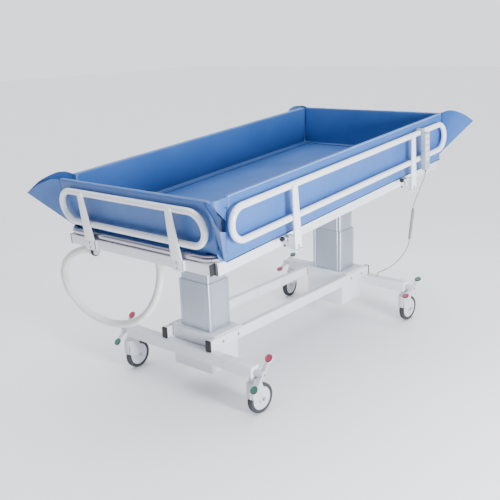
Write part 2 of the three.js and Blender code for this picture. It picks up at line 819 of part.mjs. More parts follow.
// Liner floor: a padded mat that lies on the sheet, inside the rim.
const mat = { end: 50, halfWidth: across.mat, thick: 36, corner: 30, soft: 8 };
const matBottom = sheet.bottom + sheet.thick + SEAM;
{
  const soft = { bevelEnabled: true, bevelThickness: mat.soft, bevelSize: mat.soft, bevelSegments: 1 };
  const length = headLine - 2 * mat.end - 2 * mat.soft;
  const geometry = new THREE.ExtrudeGeometry(
    roundRect(length, 2 * (mat.halfWidth - mat.soft), mat.corner, frame.middle, 0),
    { depth: mat.thick - 2 * mat.soft, curveSegments: 2, ...soft },
  );
  geometry.translate(0, 0, matBottom + mat.soft);
  const hole = uprightRod(drain.hole, matBottom - WELD, matBottom + mat.thick + WELD, drain.u, drain.v, 16);
  add("liner_floor", cut(solid(geometry), hole), "liner", platform);
}

// Liner walls: padded side walls that hang over the rim and lean with the rails.
const rimTop = rimW + rim.radius + SEAM;
const wall = {
  top: 293,
  outer: across.wall,
  thick: 28,
  skirt: 22,
  start: 44, // of the end edge from the head or foot line, at the skirt and at the top
  startTop: 84,
  soft: 6,
};
function sideWall() {
  const { top, outer, thick, skirt, start, startTop, soft } = wall;
  const slope = (startTop - start) / (top - skirt);
  const at = (w) => start + slope * (w - skirt);
  const slab = (w0, w1, v0, v1, bevel) => {
    const shape = outline([
      [at(w0) + bevel, w0 + bevel],
      [headLine - at(w0) - bevel, w0 + bevel],
      [headLine - at(w1) - bevel, w1 - bevel],
      [at(w1) + bevel, w1 - bevel],
    ]);
    const geometry = new THREE.ExtrudeGeometry(shape, {
      depth: v1 - v0 - 2 * bevel,
      bevelEnabled: bevel > 0,
      bevelThickness: bevel,
      bevelSize: bevel,
      bevelSegments: 3,
    });
    geometry.translate(0, 0, v0 + bevel);
    geometry.applyMatrix4(planes.y);
    flip(geometry);
    return solid(geometry);
  };
  return joined(
    slab(rimTop, top, outer - thick, outer, soft),
    slab(skirt, rimTop + 2 * soft, rim.halfWidth + rim.radius + SEAM, outer, 0),
  );
}
add("liner_wall_far", sideWall(), "liner", platform);
add("liner_wall_near", sideWall().mirror([0, 1, 0]), "liner", platform);

// Liner end walls: each leans out and carries the folded ears of its two corners.
const endWall = {
  foot: 21, // u of the outer face where it stands on the sheet
  lean: radians(7.4),
  thick: 25,
  lowerHalf: across.endWallFoot,
  half: across.endWall,
  corner: 8,
  overlap: 10, // how far the lower part reaches up into the upper
};
const ear = {
  thick: 10,
  root: 20, // how far the ear reaches into the wall
  // points across and up, across from the end of the wall
  base: [-6, 58],
  arc: [
    [-6, 292],
    [32, 304],
    [67, 310],
    [102, 306],
    [134, 296],
    [172, 278],
    [207, 257],
  ],
};
// The near ear of the foot end stands out along the diagonal, its two layers a little apart.
// Its points are along, across from the end of the wall, and up.
const prow = {
  points: [
    [24, 10, 58],
    [10, 2, 290],
    [-6, -4, 296],
    [52, 4, 290],
    [56, -4, 282],
    [-30, -60, 292],
    [-66, -104, 268],
    [-92, -140, 232],
    [26, -6, 60],
  ],
};
function endWallSolid(leftEar, rightEar) {
  const bottom = matBottom;
  const upper = drawn(
    roundRect(2 * endWall.half, wall.top - rimTop, endWall.corner, 0, (wall.top + rimTop) / 2),
    "x",
    0,
    endWall.thick,
    1,
  );
  const lower = box(0, endWall.thick, -endWall.lowerHalf, endWall.lowerHalf, bottom, rimTop + endWall.overlap);
  let body = upper.add(lower);
  for (const [wanted, sign] of [[leftEar, 1], [rightEar, -1]]) {
    if (!wanted) continue;
    const root = endWall.half - ear.root;
    const [base, first, ...rest] = [ear.base, ...ear.arc].map(([out, up]) => [endWall.half + out, up]);
    const points = [[root, base[1] + ear.root], base, ...rest.reverse(), first, [root, first[1]]];
    const flap = drawn(outline(points), "x", 0, ear.thick, 1);
    body = body.add(sign > 0 ? flap : flap.mirror([0, 1, 0]));
  }
  // lean outward about the foot of the outer face
  return moved(moved(body, 0, 0, -bottom).rotate([0, (-endWall.lean * 180) / HALF_TURN, 0]), endWall.foot, 0, bottom);
}
{
  const corners = prow.points.map(([u, out, w]) => new THREE.Vector3(u, out - endWall.half, w));
  const bow = solid(new ConvexGeometry(corners));
  add("liner_end_foot", endWallSolid(true, false).add(bow), "liner", platform);
  const head = moved(endWallSolid(true, true).mirror([1, 0, 0]), headLine, 0, 0);
  add("liner_end_head", head, "liner", platform);
}

// Side rails: a round tube bent to a long loop, with two flat posts that hinge under the frame.
const loop = { tube: 15, top: 262, bottom: 87, end: 42, v: across.sideRail, sides: 8, cornerSteps: 3, postBelow: 10 };
function sideRail() {
  const halfHeight = (loop.top - loop.bottom) / 2 - loop.tube;
  const middle = (loop.top + loop.bottom) / 2;
  const halfLength = frame.middle - loop.end - loop.tube;
  const stations = loopStations(halfLength, halfHeight, halfHeight, loop.cornerSteps, (a, b) =>
    new THREE.Vector3(frame.middle + a, loop.v, middle + b),
  );
  let body = ringTube(stations, loop.tube, loop.sides);
  for (const dir of [-1, 1]) {
    const u = frame.middle + dir * post.near;
    const slotHalf = hinge.lugHalf + PLAY;
    const plate = outline([
      [u - post.width / 2, railCheek.bottom],
      [u - slotHalf, railCheek.bottom],
      [u - slotHalf, railCheek.slotTop],
      [u + slotHalf, railCheek.slotTop],
      [u + slotHalf, railCheek.bottom],
      [u + post.width / 2, railCheek.bottom],
      [u + post.width / 2, 0],
      [u + post.top / 2, loop.top - loop.postBelow],
      [u - post.top / 2, loop.top - loop.postBelow],
      [u - post.width / 2, 0],
    ]);
    const outerFace = loop.v + loop.tube + post.thick - WELD;
    body = body.add(drawn(plate, "y", outerFace - post.thick, outerFace));
    for (const side of [-1, 1]) {
      const from = u + side * slotHalf;
      const to = from + side * railCheek.thick;
      const shape = new THREE.Shape();
      shape.moveTo(outerFace - WELD, railCheek.bottom + railCheek.inset);
      if (side < 0) {
        shape.lineTo(outerFace - WELD, latch.w + railCheek.tab);
        shape.lineTo(latch.v, latch.w + railCheek.tab);
        shape.lineTo(latch.v - railCheek.tab, latch.w);
        shape.lineTo(hinge.v - hinge.lugRound, hinge.w);
        shape.lineTo(hinge.v, hinge.w - hinge.lugRound);
        const hexagon = [];
        for (let corner = 0; corner < 6; corner += 1) {
          const angle = (corner * HALF_TURN) / 3;
          hexagon.push([
            latch.v + railCheek.tabHole * Math.cos(angle),
            latch.w + railCheek.tabHole * Math.sin(angle),
          ]);
        }
        shape.holes.push(outline(hexagon));
      } else {
        shape.lineTo(outerFace - WELD, railCheek.top);
        shape.absarc(hinge.v, hinge.w, hinge.lugRound, QUARTER, 3 * QUARTER);
      }
      const bore = new THREE.Path();
      bore.absarc(hinge.v, hinge.w, hinge.bolt + PLAY, 0, 2 * HALF_TURN);
      shape.holes.push(bore);
      body = body.add(drawn(shape, "x", Math.min(from, to), Math.max(from, to), 5));
    }
  }
  return body;
}
add("side_rail_far", sideRail(), "railPaint", platform);
add("side_rail_near", sideRail().mirror([0, 1, 0]), "railPaint", platform);

// Latches: spring bolts beside the hinges that keep the rails up, each with a pull knob.
for (const [side, sign] of [["near", -1], ["far", 1]]) {
  for (const [endName, dir] of [["foot", -1], ["head", 1]]) {
    const u = frame.middle + dir * post.near;
    const stop = u + latch.outerGuide - PLAY;
    const nose = u - hinge.lugHalf - PLAY - railCheek.thick - latch.short;
    const collar = u + latch.innerGuide - PLAY;
    const body = joined(
      lengthwiseRod(latch.rod, stop - WELD, nose, latch.v, latch.w, 8),
      lengthwiseRod(latch.knob, stop - latch.knobLength, stop, latch.v, latch.w, 12),
      lengthwiseRod(latch.collar, collar - latch.collarLength, collar, latch.v, latch.w, 8),
    );
    add(`latch_${endName}_${side}`, sign > 0 ? body : body.mirror([0, 1, 0]), "steel", platform);
  }
}

// End rails: a shorter loop on two flat tapered posts bolted to the face of the end cross tube.
const endRail = {
  half: across.endRail,
  top: 262,
  bottom: 92,
  postV: 290,
  postTop: 34,
  postFoot: 64,
  postThick: 7,
  postBelow: 6,
  bottomW: -29,
  flange: 10,
  flangeThick: 4,
  flangeTop: 50,
};
function endRailSolid() {
  const face = -frame.endTube - SEAM;
  const halfHeight = (endRail.top - endRail.bottom) / 2 - loop.tube;
  const middle = (endRail.top + endRail.bottom) / 2 - frame.top;
  const centreU = loop.tube - WELD;
  const stations = loopStations(endRail.half - loop.tube, halfHeight, halfHeight, loop.cornerSteps, (a, b) =>
    new THREE.Vector3(centreU, a, middle + b),
  );
  let body = ringTube(stations, loop.tube, loop.sides);
  for (const sign of [-1, 1]) {
    const v = sign * endRail.postV;
    const upper = outline([
      [v - endRail.postFoot / 2, -WELD],
      [v + endRail.postFoot / 2, -WELD],
      [v + endRail.postTop / 2, endRail.top - frame.top - endRail.postBelow],
      [v - endRail.postTop / 2, endRail.top - frame.top - endRail.postBelow],
    ]);
    body = body.add(drawn(upper, "x", -endRail.postThick, 0));
  }
  // the upper part leans out with the end wall; the feet stand square on the tube
  body = moved(body.rotate([0, (-endWall.lean * 180) / HALF_TURN, 0]), face, 0, frame.top);
  for (const sign of [-1, 1]) {
    const v = sign * endRail.postV;
    const foot = endRail.postFoot / 2;
    body = body.add(box(face - endRail.postThick, face, v - foot, v + foot, endRail.bottomW, frame.top + WELD));
    const edge = v - sign * foot;
    body = body.add(
      box(
        face - endRail.postThick - endRail.flange,
        face,
        Math.min(edge, edge - sign * endRail.flangeThick),
        Math.max(edge, edge - sign * endRail.flangeThick),
        endRail.bottomW,
        endRail.flangeTop,
      ),
    );
  }
  return body;
}
add("end_rail_foot", endRailSolid(), "railPaint", platform);
add("end_rail_head", moved(endRailSolid().mirror([1, 0, 0]), headLine, 0, 0), "railPaint", platform);

// Handset: a slim keypad body that hangs from the near rail's top bar by a hook.
const handsetHang = { standOff: 6, drop: 12, length: 210 };
const handset = {
  u: 1666,
  width: 52,
  back: loop.v + loop.tube + handsetHang.standOff,
  thick: 25,
  bottom: loop.top - handsetHang.drop - handsetHang.length,
  top: loop.top - handsetHang.drop,
  corner: 9,
  hook: 5,
  hookHalf: 14,
  hookFoot: 40,
};
{
  const { u, width, back, thick, bottom, top, corner, hook, hookHalf, hookFoot } = handset;
  const body = drawn(
    roundRect(width, top - bottom, corner, u, (top + bottom) / 2),
    "y",
    back,
    back + thick,
    2,
  );
  const over = loop.tube + SEAM;
  const lipEnd = loop.top - 2 * loop.tube;
  const shape = new THREE.Shape();
  shape.moveTo(back + WELD, top - hookFoot);
  shape.lineTo(back + WELD, loop.top + hook + SEAM);
  shape.lineTo(loop.v - over - hook, loop.top + hook + SEAM);
  shape.lineTo(loop.v - over - hook, lipEnd);
  shape.lineTo(loop.v - over, lipEnd);
  shape.lineTo(loop.v - over, loop.top + SEAM);
  shape.lineTo(loop.v + over, loop.top + SEAM);
  shape.lineTo(loop.v + over, top - hookFoot);
  const bracket = drawn(shape, "x", u - hookHalf, u + hookHalf);
  add("handset", body.add(bracket).mirror([0, 1, 0]), "handset", platform);
}

// Drain hose: a ribbed tube that hangs in a loop from the outlet under the sheet and ends in a clip
// under the foot cross tube. Its ribs are rings whose radius steps from root to crest and back.
const hose = { crest: 18.5, root: 16.2, bore: 13, ribs: 88, sides: 8, boreEvery: 5, cuff: 14 };
const clip = { v: 308, width: 14, thick: 3 };
const hoseEndW = frame.bottom - 2 * SEAM - clip.thick - hose.crest;
const ribShares = { root: 0.2, crest: 0.7 }; // where each rib's two rings stand in its pitch
const hoseRoute = [
  [drain.u, drain.v, drain.bottom - SEAM],
  [drain.u, drain.v, -62],
  [71, -54, -127],
  [66, -35, -204],
  [61, 9, -283],
  [54, 74, -356],
  [44, 158, -410],
  [32, 254, -436],
  [20, 347, -437],
  [6, 437, -411],
  [-6, 512, -361],
  [-15, 561, -293],
  [-18, 573, -222],
  [-17, 547, -151],
  [-13, 491, -99],
  [-8, 425, -66],
  [-2, 366, -50],
  [0, 320, hoseEndW],
  [0, 296, hoseEndW],
];

// Rings carried along a curve without twist; the first ring faces the curve's start.
function carriedRings(curve, shares, radii, sides) {
  const rings = [];
  const tangent = new THREE.Vector3();
  const side = new THREE.Vector3(0, 1, 0);
  shares.forEach((share, i) => {
    curve.getTangentAt(share, tangent);
    side.addScaledVector(tangent, -side.dot(tangent)).normalize();
    const up = new THREE.Vector3().crossVectors(tangent, side);
    const centre = curve.getPointAt(share);
    const ring = [];
    for (let k = 0; k < sides; k += 1) {
      const angle = (2 * HALF_TURN * k) / sides;
      ring.push(
        centre
          .clone()
          .addScaledVector(side, radii[i] * Math.cos(angle))
          .addScaledVector(up, radii[i] * Math.sin(angle)),
      );
    }
    rings.push(ring);
  });
  return rings;
}

// A closed skin over rings: outer rings, then inner rings back through the bore, or flat ends.
function skin(rings, closed) {
  const sides = rings[0].length;
  const points = rings.flat();
  const faces = [];
  const count = rings.length;
  for (let i = 0; i < (closed ? count : count - 1); i += 1) {
    const next = (i + 1) % count;
    for (let k = 0; k < sides; k += 1) {
      const a = i * sides + k;
      const b = i * sides + ((k + 1) % sides);
      const c = next * sides + k;
      const d = next * sides + ((k + 1) % sides);
      faces.push(a, b, d, a, d, c);
    }
  }
  if (!closed) {
    for (let k = 1; k < sides - 1; k += 1) {
      faces.push(0, k + 1, k);
      const last = (count - 1) * sides;
      faces.push(last, last + k, last + k + 1);
    }
  }
  const geometry = new THREE.BufferGeometry();
  geometry.setAttribute(
    "position",
    new THREE.BufferAttribute(new Float32Array(points.flatMap((p) => [p.x, p.y, p.z])), 3),
  );
  geometry.setIndex(faces);
  const body = solid(geometry);
  if (body.volume() > 0) return body;
  const turnedFaces = [];
  for (let i = 0; i < faces.length; i += 3) turnedFaces.push(faces[i], faces[i + 2], faces[i + 1]);
  geometry.setIndex(turnedFaces);
  return solid(geometry);
}

{
  const curve = new THREE.CatmullRomCurve3(hoseRoute.map((p) => new THREE.Vector3(...p)), false, "centripetal");
  curve.arcLengthDivisions = 2000;
  const length = curve.getLength();
  const cuff = hose.cuff / length;
  const shares = [0];
  const radii = [hose.root];
  for (let i = 0; i < hose.ribs; i += 1) {
    const start = cuff + ((1 - 2 * cuff) * i) / hose.ribs;
    const pitch = (1 - 2 * cuff) / hose.ribs;
    shares.push(start + pitch * ribShares.root, start + pitch * ribShares.crest);
    radii.push(hose.root, hose.crest);
  }
  shares.push(1);
  radii.push(hose.root);
  const outerRings = carriedRings(curve, shares, radii, hose.sides);
  const boreShares = [0];
  for (let i = hose.boreEvery; i < hose.ribs; i += hose.boreEvery) boreShares.push(i / hose.ribs);
  boreShares.push(1);
  const boreRings = carriedRings(curve, boreShares, boreShares.map(() => hose.bore), hose.sides);
  add("drain_hose", skin([...outerRings, ...boreRings.reverse()], true), "hose", platform);
}

// Clip: a band with a flat top, screwed under the foot cross tube, holds the hose's free end.
{
  const inner = hose.crest + PLAY;
  const outer = inner + clip.thick;
  const top = frame.bottom - SEAM;
  const band = new THREE.Shape();
  band.moveTo(outer, top);
  band.lineTo(outer, hoseEndW);
  band.absarc(0, hoseEndW, outer, 0, -HALF_TURN, true);
  band.lineTo(-outer, top);
  const bore = new THREE.Path();
  bore.absarc(0, hoseEndW, inner, 0, 2 * HALF_TURN);
  band.holes.push(bore);
  add("hose_clip", drawn(band, "y", clip.v - clip.width / 2, clip.v + clip.width / 2, 8), "black", platform);
}

// Handset cable: a straight stretch down from the handset, a curly stretch, and a stretch that swings
// in to the rear cross leg.
const cable = { radius: 3, sides: 8 };
const curl = { radius: 6.6, wire: 3, curls: 30, steps: 8, sides: 5, lead: 6 };
const handsetExit = new THREE.Vector3(handset.u, -(handset.back + handset.thick / 2), handset.bottom - SEAM);
platform.updateMatrix();
handsetExit.applyMatrix4(platform.matrix);
const down = new THREE.Vector3(0, 0, -1).transformDirection(platform.matrix);
const curlTop = new THREE.Vector3(690, -488, 738);
const curlEnd = new THREE.Vector3(697, -463, 520);
const legEntry = new THREE.Vector3(castor.x, -236, legTop + SEAM);
const upperRoute = [
  [659, -565, 915],
  [668, -538, 855],
  [679, -511, 795],
];
const lowerRoute = [
  [701, -441, 462],
  [707, -398, 398],
  [714, -338, 338],
  [720, -280, 298],
  [724, -242, 275],
];
const points = (route) => route.map((p) => new THREE.Vector3(...p));

function cableStations(route, steps) {
  const middle = new THREE.CatmullRomCurve3(route.slice(1, -1), false, "centripetal");
  return [route[0], ...middle.getSpacedPoints(steps), route[route.length - 1]];
}
const curlAxis = new THREE.Vector3().subVectors(curlEnd, curlTop);
const curlLength = curlAxis.length();
curlAxis.normalize();
{
  const gap = curlAxis.clone().multiplyScalar(SEAM);
  const lead = curlAxis.clone().multiplyScalar(2 * cable.radius);
  const upperEnd = curlTop.clone().sub(gap);
  const upper = [
    handsetExit,
    handsetExit.clone().addScaledVector(down, 2 * cable.radius),
    ...points(upperRoute),
    upperEnd.clone().sub(lead),
    upperEnd,
  ];
  add("cable_upper", roundTube(cableStations(upper, 14), cable.radius, cable.sides), "cord");
  const lowerStart = curlEnd.clone().add(gap);
  const lower = [
    lowerStart,
    lowerStart.clone().add(lead),
    ...points(lowerRoute),
    legEntry.clone().add(new THREE.Vector3(0, 0, 2 * cable.radius)),
    legEntry,
  ];
  add("cable_lower", roundTube(cableStations(lower, 20), cable.radius, cable.sides), "cord");
}

// Curly stretch: one unbroken wire wound about a straight axis, its ends drawn in to the axis.
{
  const side = new THREE.Vector3(1, 0, 0).addScaledVector(curlAxis, -curlAxis.x).normalize();
  const up = new THREE.Vector3().crossVectors(curlAxis, side);
  const turns = curl.curls;
  const count = turns * curl.steps;
  const stations = [];
  const wound = curlLength - 4 * curl.lead;
  for (let i = 0; i <= count; i += 1) {
    const angle = (2 * HALF_TURN * i) / curl.steps;
    const along = 2 * curl.lead + (wound * i) / count;
    const draw = Math.min(1, i / curl.steps, (count - i) / curl.steps);
    const radius = curl.radius * Math.sin(draw * QUARTER);
    stations.push(
      curlTop
        .clone()
        .addScaledVector(curlAxis, along)
        .addScaledVector(side, radius * Math.cos(angle))
        .addScaledVector(up, radius * Math.sin(angle)),
    );
  }
  const path = [
    curlTop.clone(),
    curlTop.clone().addScaledVector(curlAxis, 2 * curl.wire),
    ...stations.slice(1, -1),
    curlEnd.clone().addScaledVector(curlAxis, -2 * curl.wire),
    curlEnd.clone(),
  ];
  let least = Infinity;
  for (let i = 0; i < path.length; i += 1) {
    for (let k = i + curl.steps - 2; k < path.length; k += 1) {
      least = Math.min(least, path[i].distanceTo(path[k]) - 2 * curl.wire);
    }
  }
  console.log(`curly cable: least gap to itself ${least.toFixed(2)} mm`);
  const curve = new StationPath(path);
  const shares = path.map((_, i) => i / (path.length - 1));
  const rings = carriedRings(curve, shares, path.map(() => curl.wire), curl.sides);
  add("cable_curly", skin(rings, false), "cord");
}

export default part;
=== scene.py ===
# A shower trolley, dressed for the studio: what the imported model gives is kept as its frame, and each piece
# that shows gets its real form and finish. Metres, +X to the head end, the handset's side towards -Y.
import math
from itertools import product

import bmesh
import bpy
from mathutils import Matrix, Vector, noise


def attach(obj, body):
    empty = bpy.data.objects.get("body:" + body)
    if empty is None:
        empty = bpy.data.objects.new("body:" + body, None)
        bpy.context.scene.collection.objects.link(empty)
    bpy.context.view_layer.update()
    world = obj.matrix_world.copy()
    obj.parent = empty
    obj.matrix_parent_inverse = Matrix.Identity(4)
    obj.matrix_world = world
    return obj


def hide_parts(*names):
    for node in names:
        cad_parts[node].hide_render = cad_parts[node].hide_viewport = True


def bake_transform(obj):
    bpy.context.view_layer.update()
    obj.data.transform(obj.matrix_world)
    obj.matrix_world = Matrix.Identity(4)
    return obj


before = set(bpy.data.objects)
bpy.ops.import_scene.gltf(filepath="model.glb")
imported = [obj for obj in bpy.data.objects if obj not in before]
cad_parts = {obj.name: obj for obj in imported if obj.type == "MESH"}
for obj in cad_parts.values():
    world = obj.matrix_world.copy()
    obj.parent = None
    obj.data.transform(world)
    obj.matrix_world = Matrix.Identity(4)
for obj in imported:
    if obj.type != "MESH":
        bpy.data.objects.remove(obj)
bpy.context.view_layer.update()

# Camera
# The photograph is taken from the foot end, on the handset's side, a little above the liner. Its place,
# direction and focal length were fitted to the base, the columns and the rails.
camera_data = bpy.data.cameras.new("camera")
SENSOR_WIDTH, PHOTO_WIDTH, FOCAL_LENGTH = 36, 500, 729.55  # millimetres, then pixels of the photograph
camera_data.sensor_width = SENSOR_WIDTH
camera_data.lens = SENSOR_WIDTH * FOCAL_LENGTH / PHOTO_WIDTH
camera = bpy.data.objects.new("camera", camera_data)
bpy.context.scene.collection.objects.link(camera)
camera_yaw, camera_pitch, camera_roll = math.radians(40.405), math.radians(-16.374), math.radians(-2.024)
forward = Vector((
    math.cos(camera_pitch) * math.cos(camera_yaw),
    math.cos(camera_pitch) * math.sin(camera_yaw),
    math.sin(camera_pitch),
))
level = Vector((math.sin(camera_yaw), -math.cos(camera_yaw), 0))
rise = level.cross(forward)
right = level * math.cos(camera_roll) + rise * math.sin(camera_roll)
up = rise * math.cos(camera_roll) - level * math.sin(camera_roll)
camera.matrix_world = Matrix.Translation((-3.04885, -2.43765, 1.72178)) @ Matrix(
    (right, up, -forward)
).transposed().to_4x4()
bpy.context.scene.camera = camera

# Drain hose
# Milky soft PVC hose, 37 mm across the ribs, 1.36 m long: pushed on the outlet under the liner, it hangs
# in a loop at the foot end and its free end is held by a clip under the foot cross tube.
MM = 0.001
TILT = math.radians(4.2)
FROM_MM = Matrix.Scale(MM, 4)
# Everything on the tilting frame is modelled in its own axes, in millimetres: u from the foot end, v across,
# w up from the middle of the foot cross tube.
PLATFORM = Matrix.Translation((-0.9711, 0, 0.805)) @ Matrix.Rotation(-TILT, 4, "Y") @ FROM_MM


def linear(code):
    """An sRGB hex colour as linear red, green, blue and alpha."""
    parts = [int(code[i : i + 2], 16) / 255 for i in (0, 2, 4)]
    return [p / 12.92 if p <= 0.04045 else ((p + 0.055) / 1.055) ** 2.4 for p in parts] + [1.0]


def add_node(material, kind, inputs=None, **settings):
    """Adds one node with its settings. An input is a value, or a (node, output) pair to link."""
    tree = material.node_tree
    made = tree.nodes.new("ShaderNode" + kind)
    for key, value in settings.items():
        setattr(made, key, value)
    for key, value in (inputs or {}).items():
        if isinstance(value, tuple) and isinstance(value[0], bpy.types.Node):
            tree.links.new(value[0].outputs[value[1]], made.inputs[key])
        else:
            made.inputs[key].default_value = value
    return made


slot_of = {}  # the record's material slot that each finish stands for


def start_material(name, slot, **values):
    """A new material with its shader's plain values set on the sockets; returns it and the shader."""
    material = bpy.data.materials.new(name)
    slot_of[name] = slot
    material.use_nodes = True
    shader = material.node_tree.nodes["Principled BSDF"]
    for key, value in values.items():
        shader.inputs[key.replace("_", " ")].default_value = value
    return material, shader


def wire(material, shader, color=None, roughness=None, normal=None):
    """Links a finished colour, roughness and bump to the shader."""
    for key, source in (("Base Color", color), ("Roughness", roughness), ("Normal", normal)):
        if source:
            material.node_tree.links.new(source[0].outputs[source[1]], shader.inputs[key])


def plain_finish(
    name, slot, dark, light, rough, grain_size, depth, clouds=(5.0, 5.0), span=(0.3, 0.7), strength=0.15,
    **values,
):
    """A finish whose tone and gloss wander a little, with a fine grain of a real size in metres."""
    material, shader = start_material(name, slot, **values)
    where = add_node(material, "TexCoord")
    cloud = add_node(material, "TexNoise", {"Vector": (where, 3), "Scale": clouds[0], "Detail": clouds[1]})
    tint = add_node(material, "Mix", {0: (cloud, 0), 6: linear(dark), 7: linear(light)}, data_type="RGBA")
    limits = {1: span[0], 2: span[1], 3: rough[0], 4: rough[1]}
    gloss = add_node(material, "MapRange", {0: (cloud, 0), **limits})
    grain = add_node(material, "TexNoise", {"Vector": (where, 3), "Scale": 1 / grain_size, "Detail": 2.0})
    relief = add_node(material, "Bump", {"Height": (grain, 0), "Strength": strength, "Distance": depth})
    wire(material, shader, (tint, 2), (gloss, 0), (relief, 0))
    return material


# Plasticised PVC, extruded and corrugated: milky, a little see-through, with a soft gloss.
milky_pvc = plain_finish(
    "milky_pvc", "hose_plastic", "d6d8d2", "f1f2ee", (0.32, 0.5), 1 / 900, 0.0004, (14.0, 4.0), (0.0, 1.0),
    0.05, IOR=1.53, Subsurface_Weight=0.25, Subsurface_Scale=0.006, Coat_Weight=0.1,
)


def smooth_route(points, spacing):
    """An even row of points on the smooth curve through the given ones, its ends kept."""
    ends = [2 * points[0] - points[1], *points, 2 * points[-1] - points[-2]]
    dense = []
    for p0, p1, p2, p3 in zip(ends, ends[1:], ends[2:], ends[3:]):
        knots = [0.0]
        for a, b in ((p0, p1), (p1, p2), (p2, p3)):
            knots.append(knots[-1] + (b - a).length ** 0.5)
        t0, t1, t2, t3 = knots
        for step in range(24):
            t = t1 + (t2 - t1) * step / 24
            a1 = p0.lerp(p1, (t - t0) / (t1 - t0))
            a2 = p1.lerp(p2, (t - t1) / (t2 - t1))
            a3 = p2.lerp(p3, (t - t2) / (t3 - t2))
            b1 = a1.lerp(a2, (t - t0) / (t2 - t0))
            b2 = a2.lerp(a3, (t - t1) / (t3 - t1))
            dense.append(b1.lerp(b2, (t - t1) / (t2 - t1)))
    dense.append(points[-1].copy())
    reach = [0.0]
    for a, b in zip(dense, dense[1:]):
        reach.append(reach[-1] + (b - a).length)
    count = max(2, round(reach[-1] / spacing))
    row, k = [], 0
    for i in range(count + 1):
        want = reach[-1] * i / count
        while k < len(reach) - 2 and reach[k + 1] < want:
            k += 1
        row.append(dense[k].lerp(dense[k + 1], (want - reach[k]) / (reach[k + 1] - reach[k])))
    return row


def frames_along(points, closed=False):
    """A frame at each point, its Z along the path, carried on without twist."""
    frames, side = [], None
    for i, here in enumerate(points):
        before = points[i - 1] if closed or i else here
        after = points[(i + 1) % len(points)] if closed or i < len(points) - 1 else here
        ahead = (after - before).normalized()
        side = side or ahead.orthogonal().normalized()
        side = (side - ahead * side.dot(ahead)).normalized()
        turned = Matrix((side, ahead.cross(side), ahead)).transposed().to_4x4()
        frames.append(Matrix.Translation(here) @ turned)
    return frames


def draw_tube(bm, points, radii, sides, closed=False):
    """Extrudes a circle along a path, with a radius at each point; the ends are filled, or joined."""
    frames = frames_along(points, closed)
    rings = [f @ Matrix.Scale(r, 4) for f, r in zip(frames, radii)]
    circle = bmesh.ops.create_circle(bm, segments=sides, radius=1, matrix=rings[0])["verts"]
    first = edges = list({edge for vert in circle for edge in vert.link_edges})
    for before, after in zip(rings, rings[1:]):
        made = bmesh.ops.extrude_edge_only(bm, edges=edges)["geom"]
        verts = [g for g in made if isinstance(g, bmesh.types.BMVert)]
        fresh = set(verts)
        edges = [g for g in made if isinstance(g, bmesh.types.BMEdge) and set(g.verts) <= fresh]
        bmesh.ops.transform(bm, matrix=after @ before.inverted(), verts=verts)
    if closed:
        bmesh.ops.bridge_loops(bm, edges=first + edges)
    else:
        bmesh.ops.contextual_create(bm, geom=first)
        bmesh.ops.contextual_create(bm, geom=edges)


def settle(bm, name, place, material, body, replaced=(), sharp=35, slot=None):
    """Cleans a finished mesh, puts it in the scene at its real place and makes it ride on its body."""
    bmesh.ops.remove_doubles(bm, verts=bm.verts, dist=0.001)
    bmesh.ops.recalc_face_normals(bm, faces=bm.faces)
    bm.transform(place)
    mesh = bpy.data.meshes.new(name)
    bm.to_mesh(mesh)
    bm.free()
    mesh.materials.append(material)
    mesh.shade_smooth()
    mesh.set_sharp_from_angle(angle=math.radians(sharp))
    piece = bpy.data.objects.new(name, mesh)
    bpy.context.scene.collection.objects.link(piece)
    if body:
        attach(piece, body)
    slot = slot or slot_of[material.name]
    if replaced:
        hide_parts(*replaced)
    return piece


HOSE_CREST, HOSE_ROOT, HOSE_BORE = 18.5, 16.2, 13.0
HOSE_PITCH, RIB_STEPS = 7.2, 4
hose_route = [Vector(p) for p in (
    (74, -54, -30.3), (74, -54, -62), (71, -54, -127), (66, -35, -204), (61, 9, -283), (54, 74, -356),
    (44, 158, -410), (32, 254, -436), (20, 347, -437), (6, 437, -411), (-6, 512, -361), (-15, 561, -293),
    (-18, 573, -222), (-17, 547, -151), (-13, 491, -99), (-8, 425, -66), (-2, 366, -50), (0, 320, -52.1),
    (0, 296, -52.1),
)]
bm = bmesh.new()
hose_line = smooth_route(hose_route, HOSE_PITCH / RIB_STEPS)
rib = (HOSE_ROOT, (HOSE_ROOT + HOSE_CREST) / 2, HOSE_CREST, (HOSE_ROOT + HOSE_CREST) / 2)
hose_radii = [rib[i % RIB_STEPS] for i in range(len(hose_line))]
plain = 2 * RIB_STEPS
hose_radii[:plain] = hose_radii[-plain:] = [HOSE_ROOT] * plain
# the tube turns back into its own bore at the free end
mouth = [hose_line[-1].copy(), hose_line[-plain].copy()]
draw_tube(bm, hose_line + mouth, hose_radii + [HOSE_BORE, HOSE_BORE], 16)
hose = settle(bm, "ribbed_drain_hose", PLATFORM, milky_pvc, "platform", ["drain_hose"], 60)

# Handset cable
# Grey PVC-sleeved cable, 6 mm across: straight down from the handset, then a curly stretch that gives and
# takes as the trolley rises, then a slack stretch that swings in to the rear cross leg.
# Light grey PVC sleeve: extruded, even, with a soft gloss.
cable_sleeve = plain_finish(
    "cable_sleeve", "cord_sleeve", "868a88", "a2a5a3", (0.38, 0.55), 1 / 1500, 0.0003, (30.0, 3.0),
    (0.0, 1.0), 0.08, IOR=1.53,
)

CABLE, CABLE_SPACING = 3.0, 6
# The base is modelled in millimetres from the middle of its rails, on the floor.
BASE = Matrix.Translation((0.0329, 0, 0)) @ FROM_MM
curl_top, curl_end = Vector((690, -488, 738)), Vector((697, -463, 520))
curl_line = (curl_end - curl_top).normalized()
SEAM = 0.3  # between two stretches


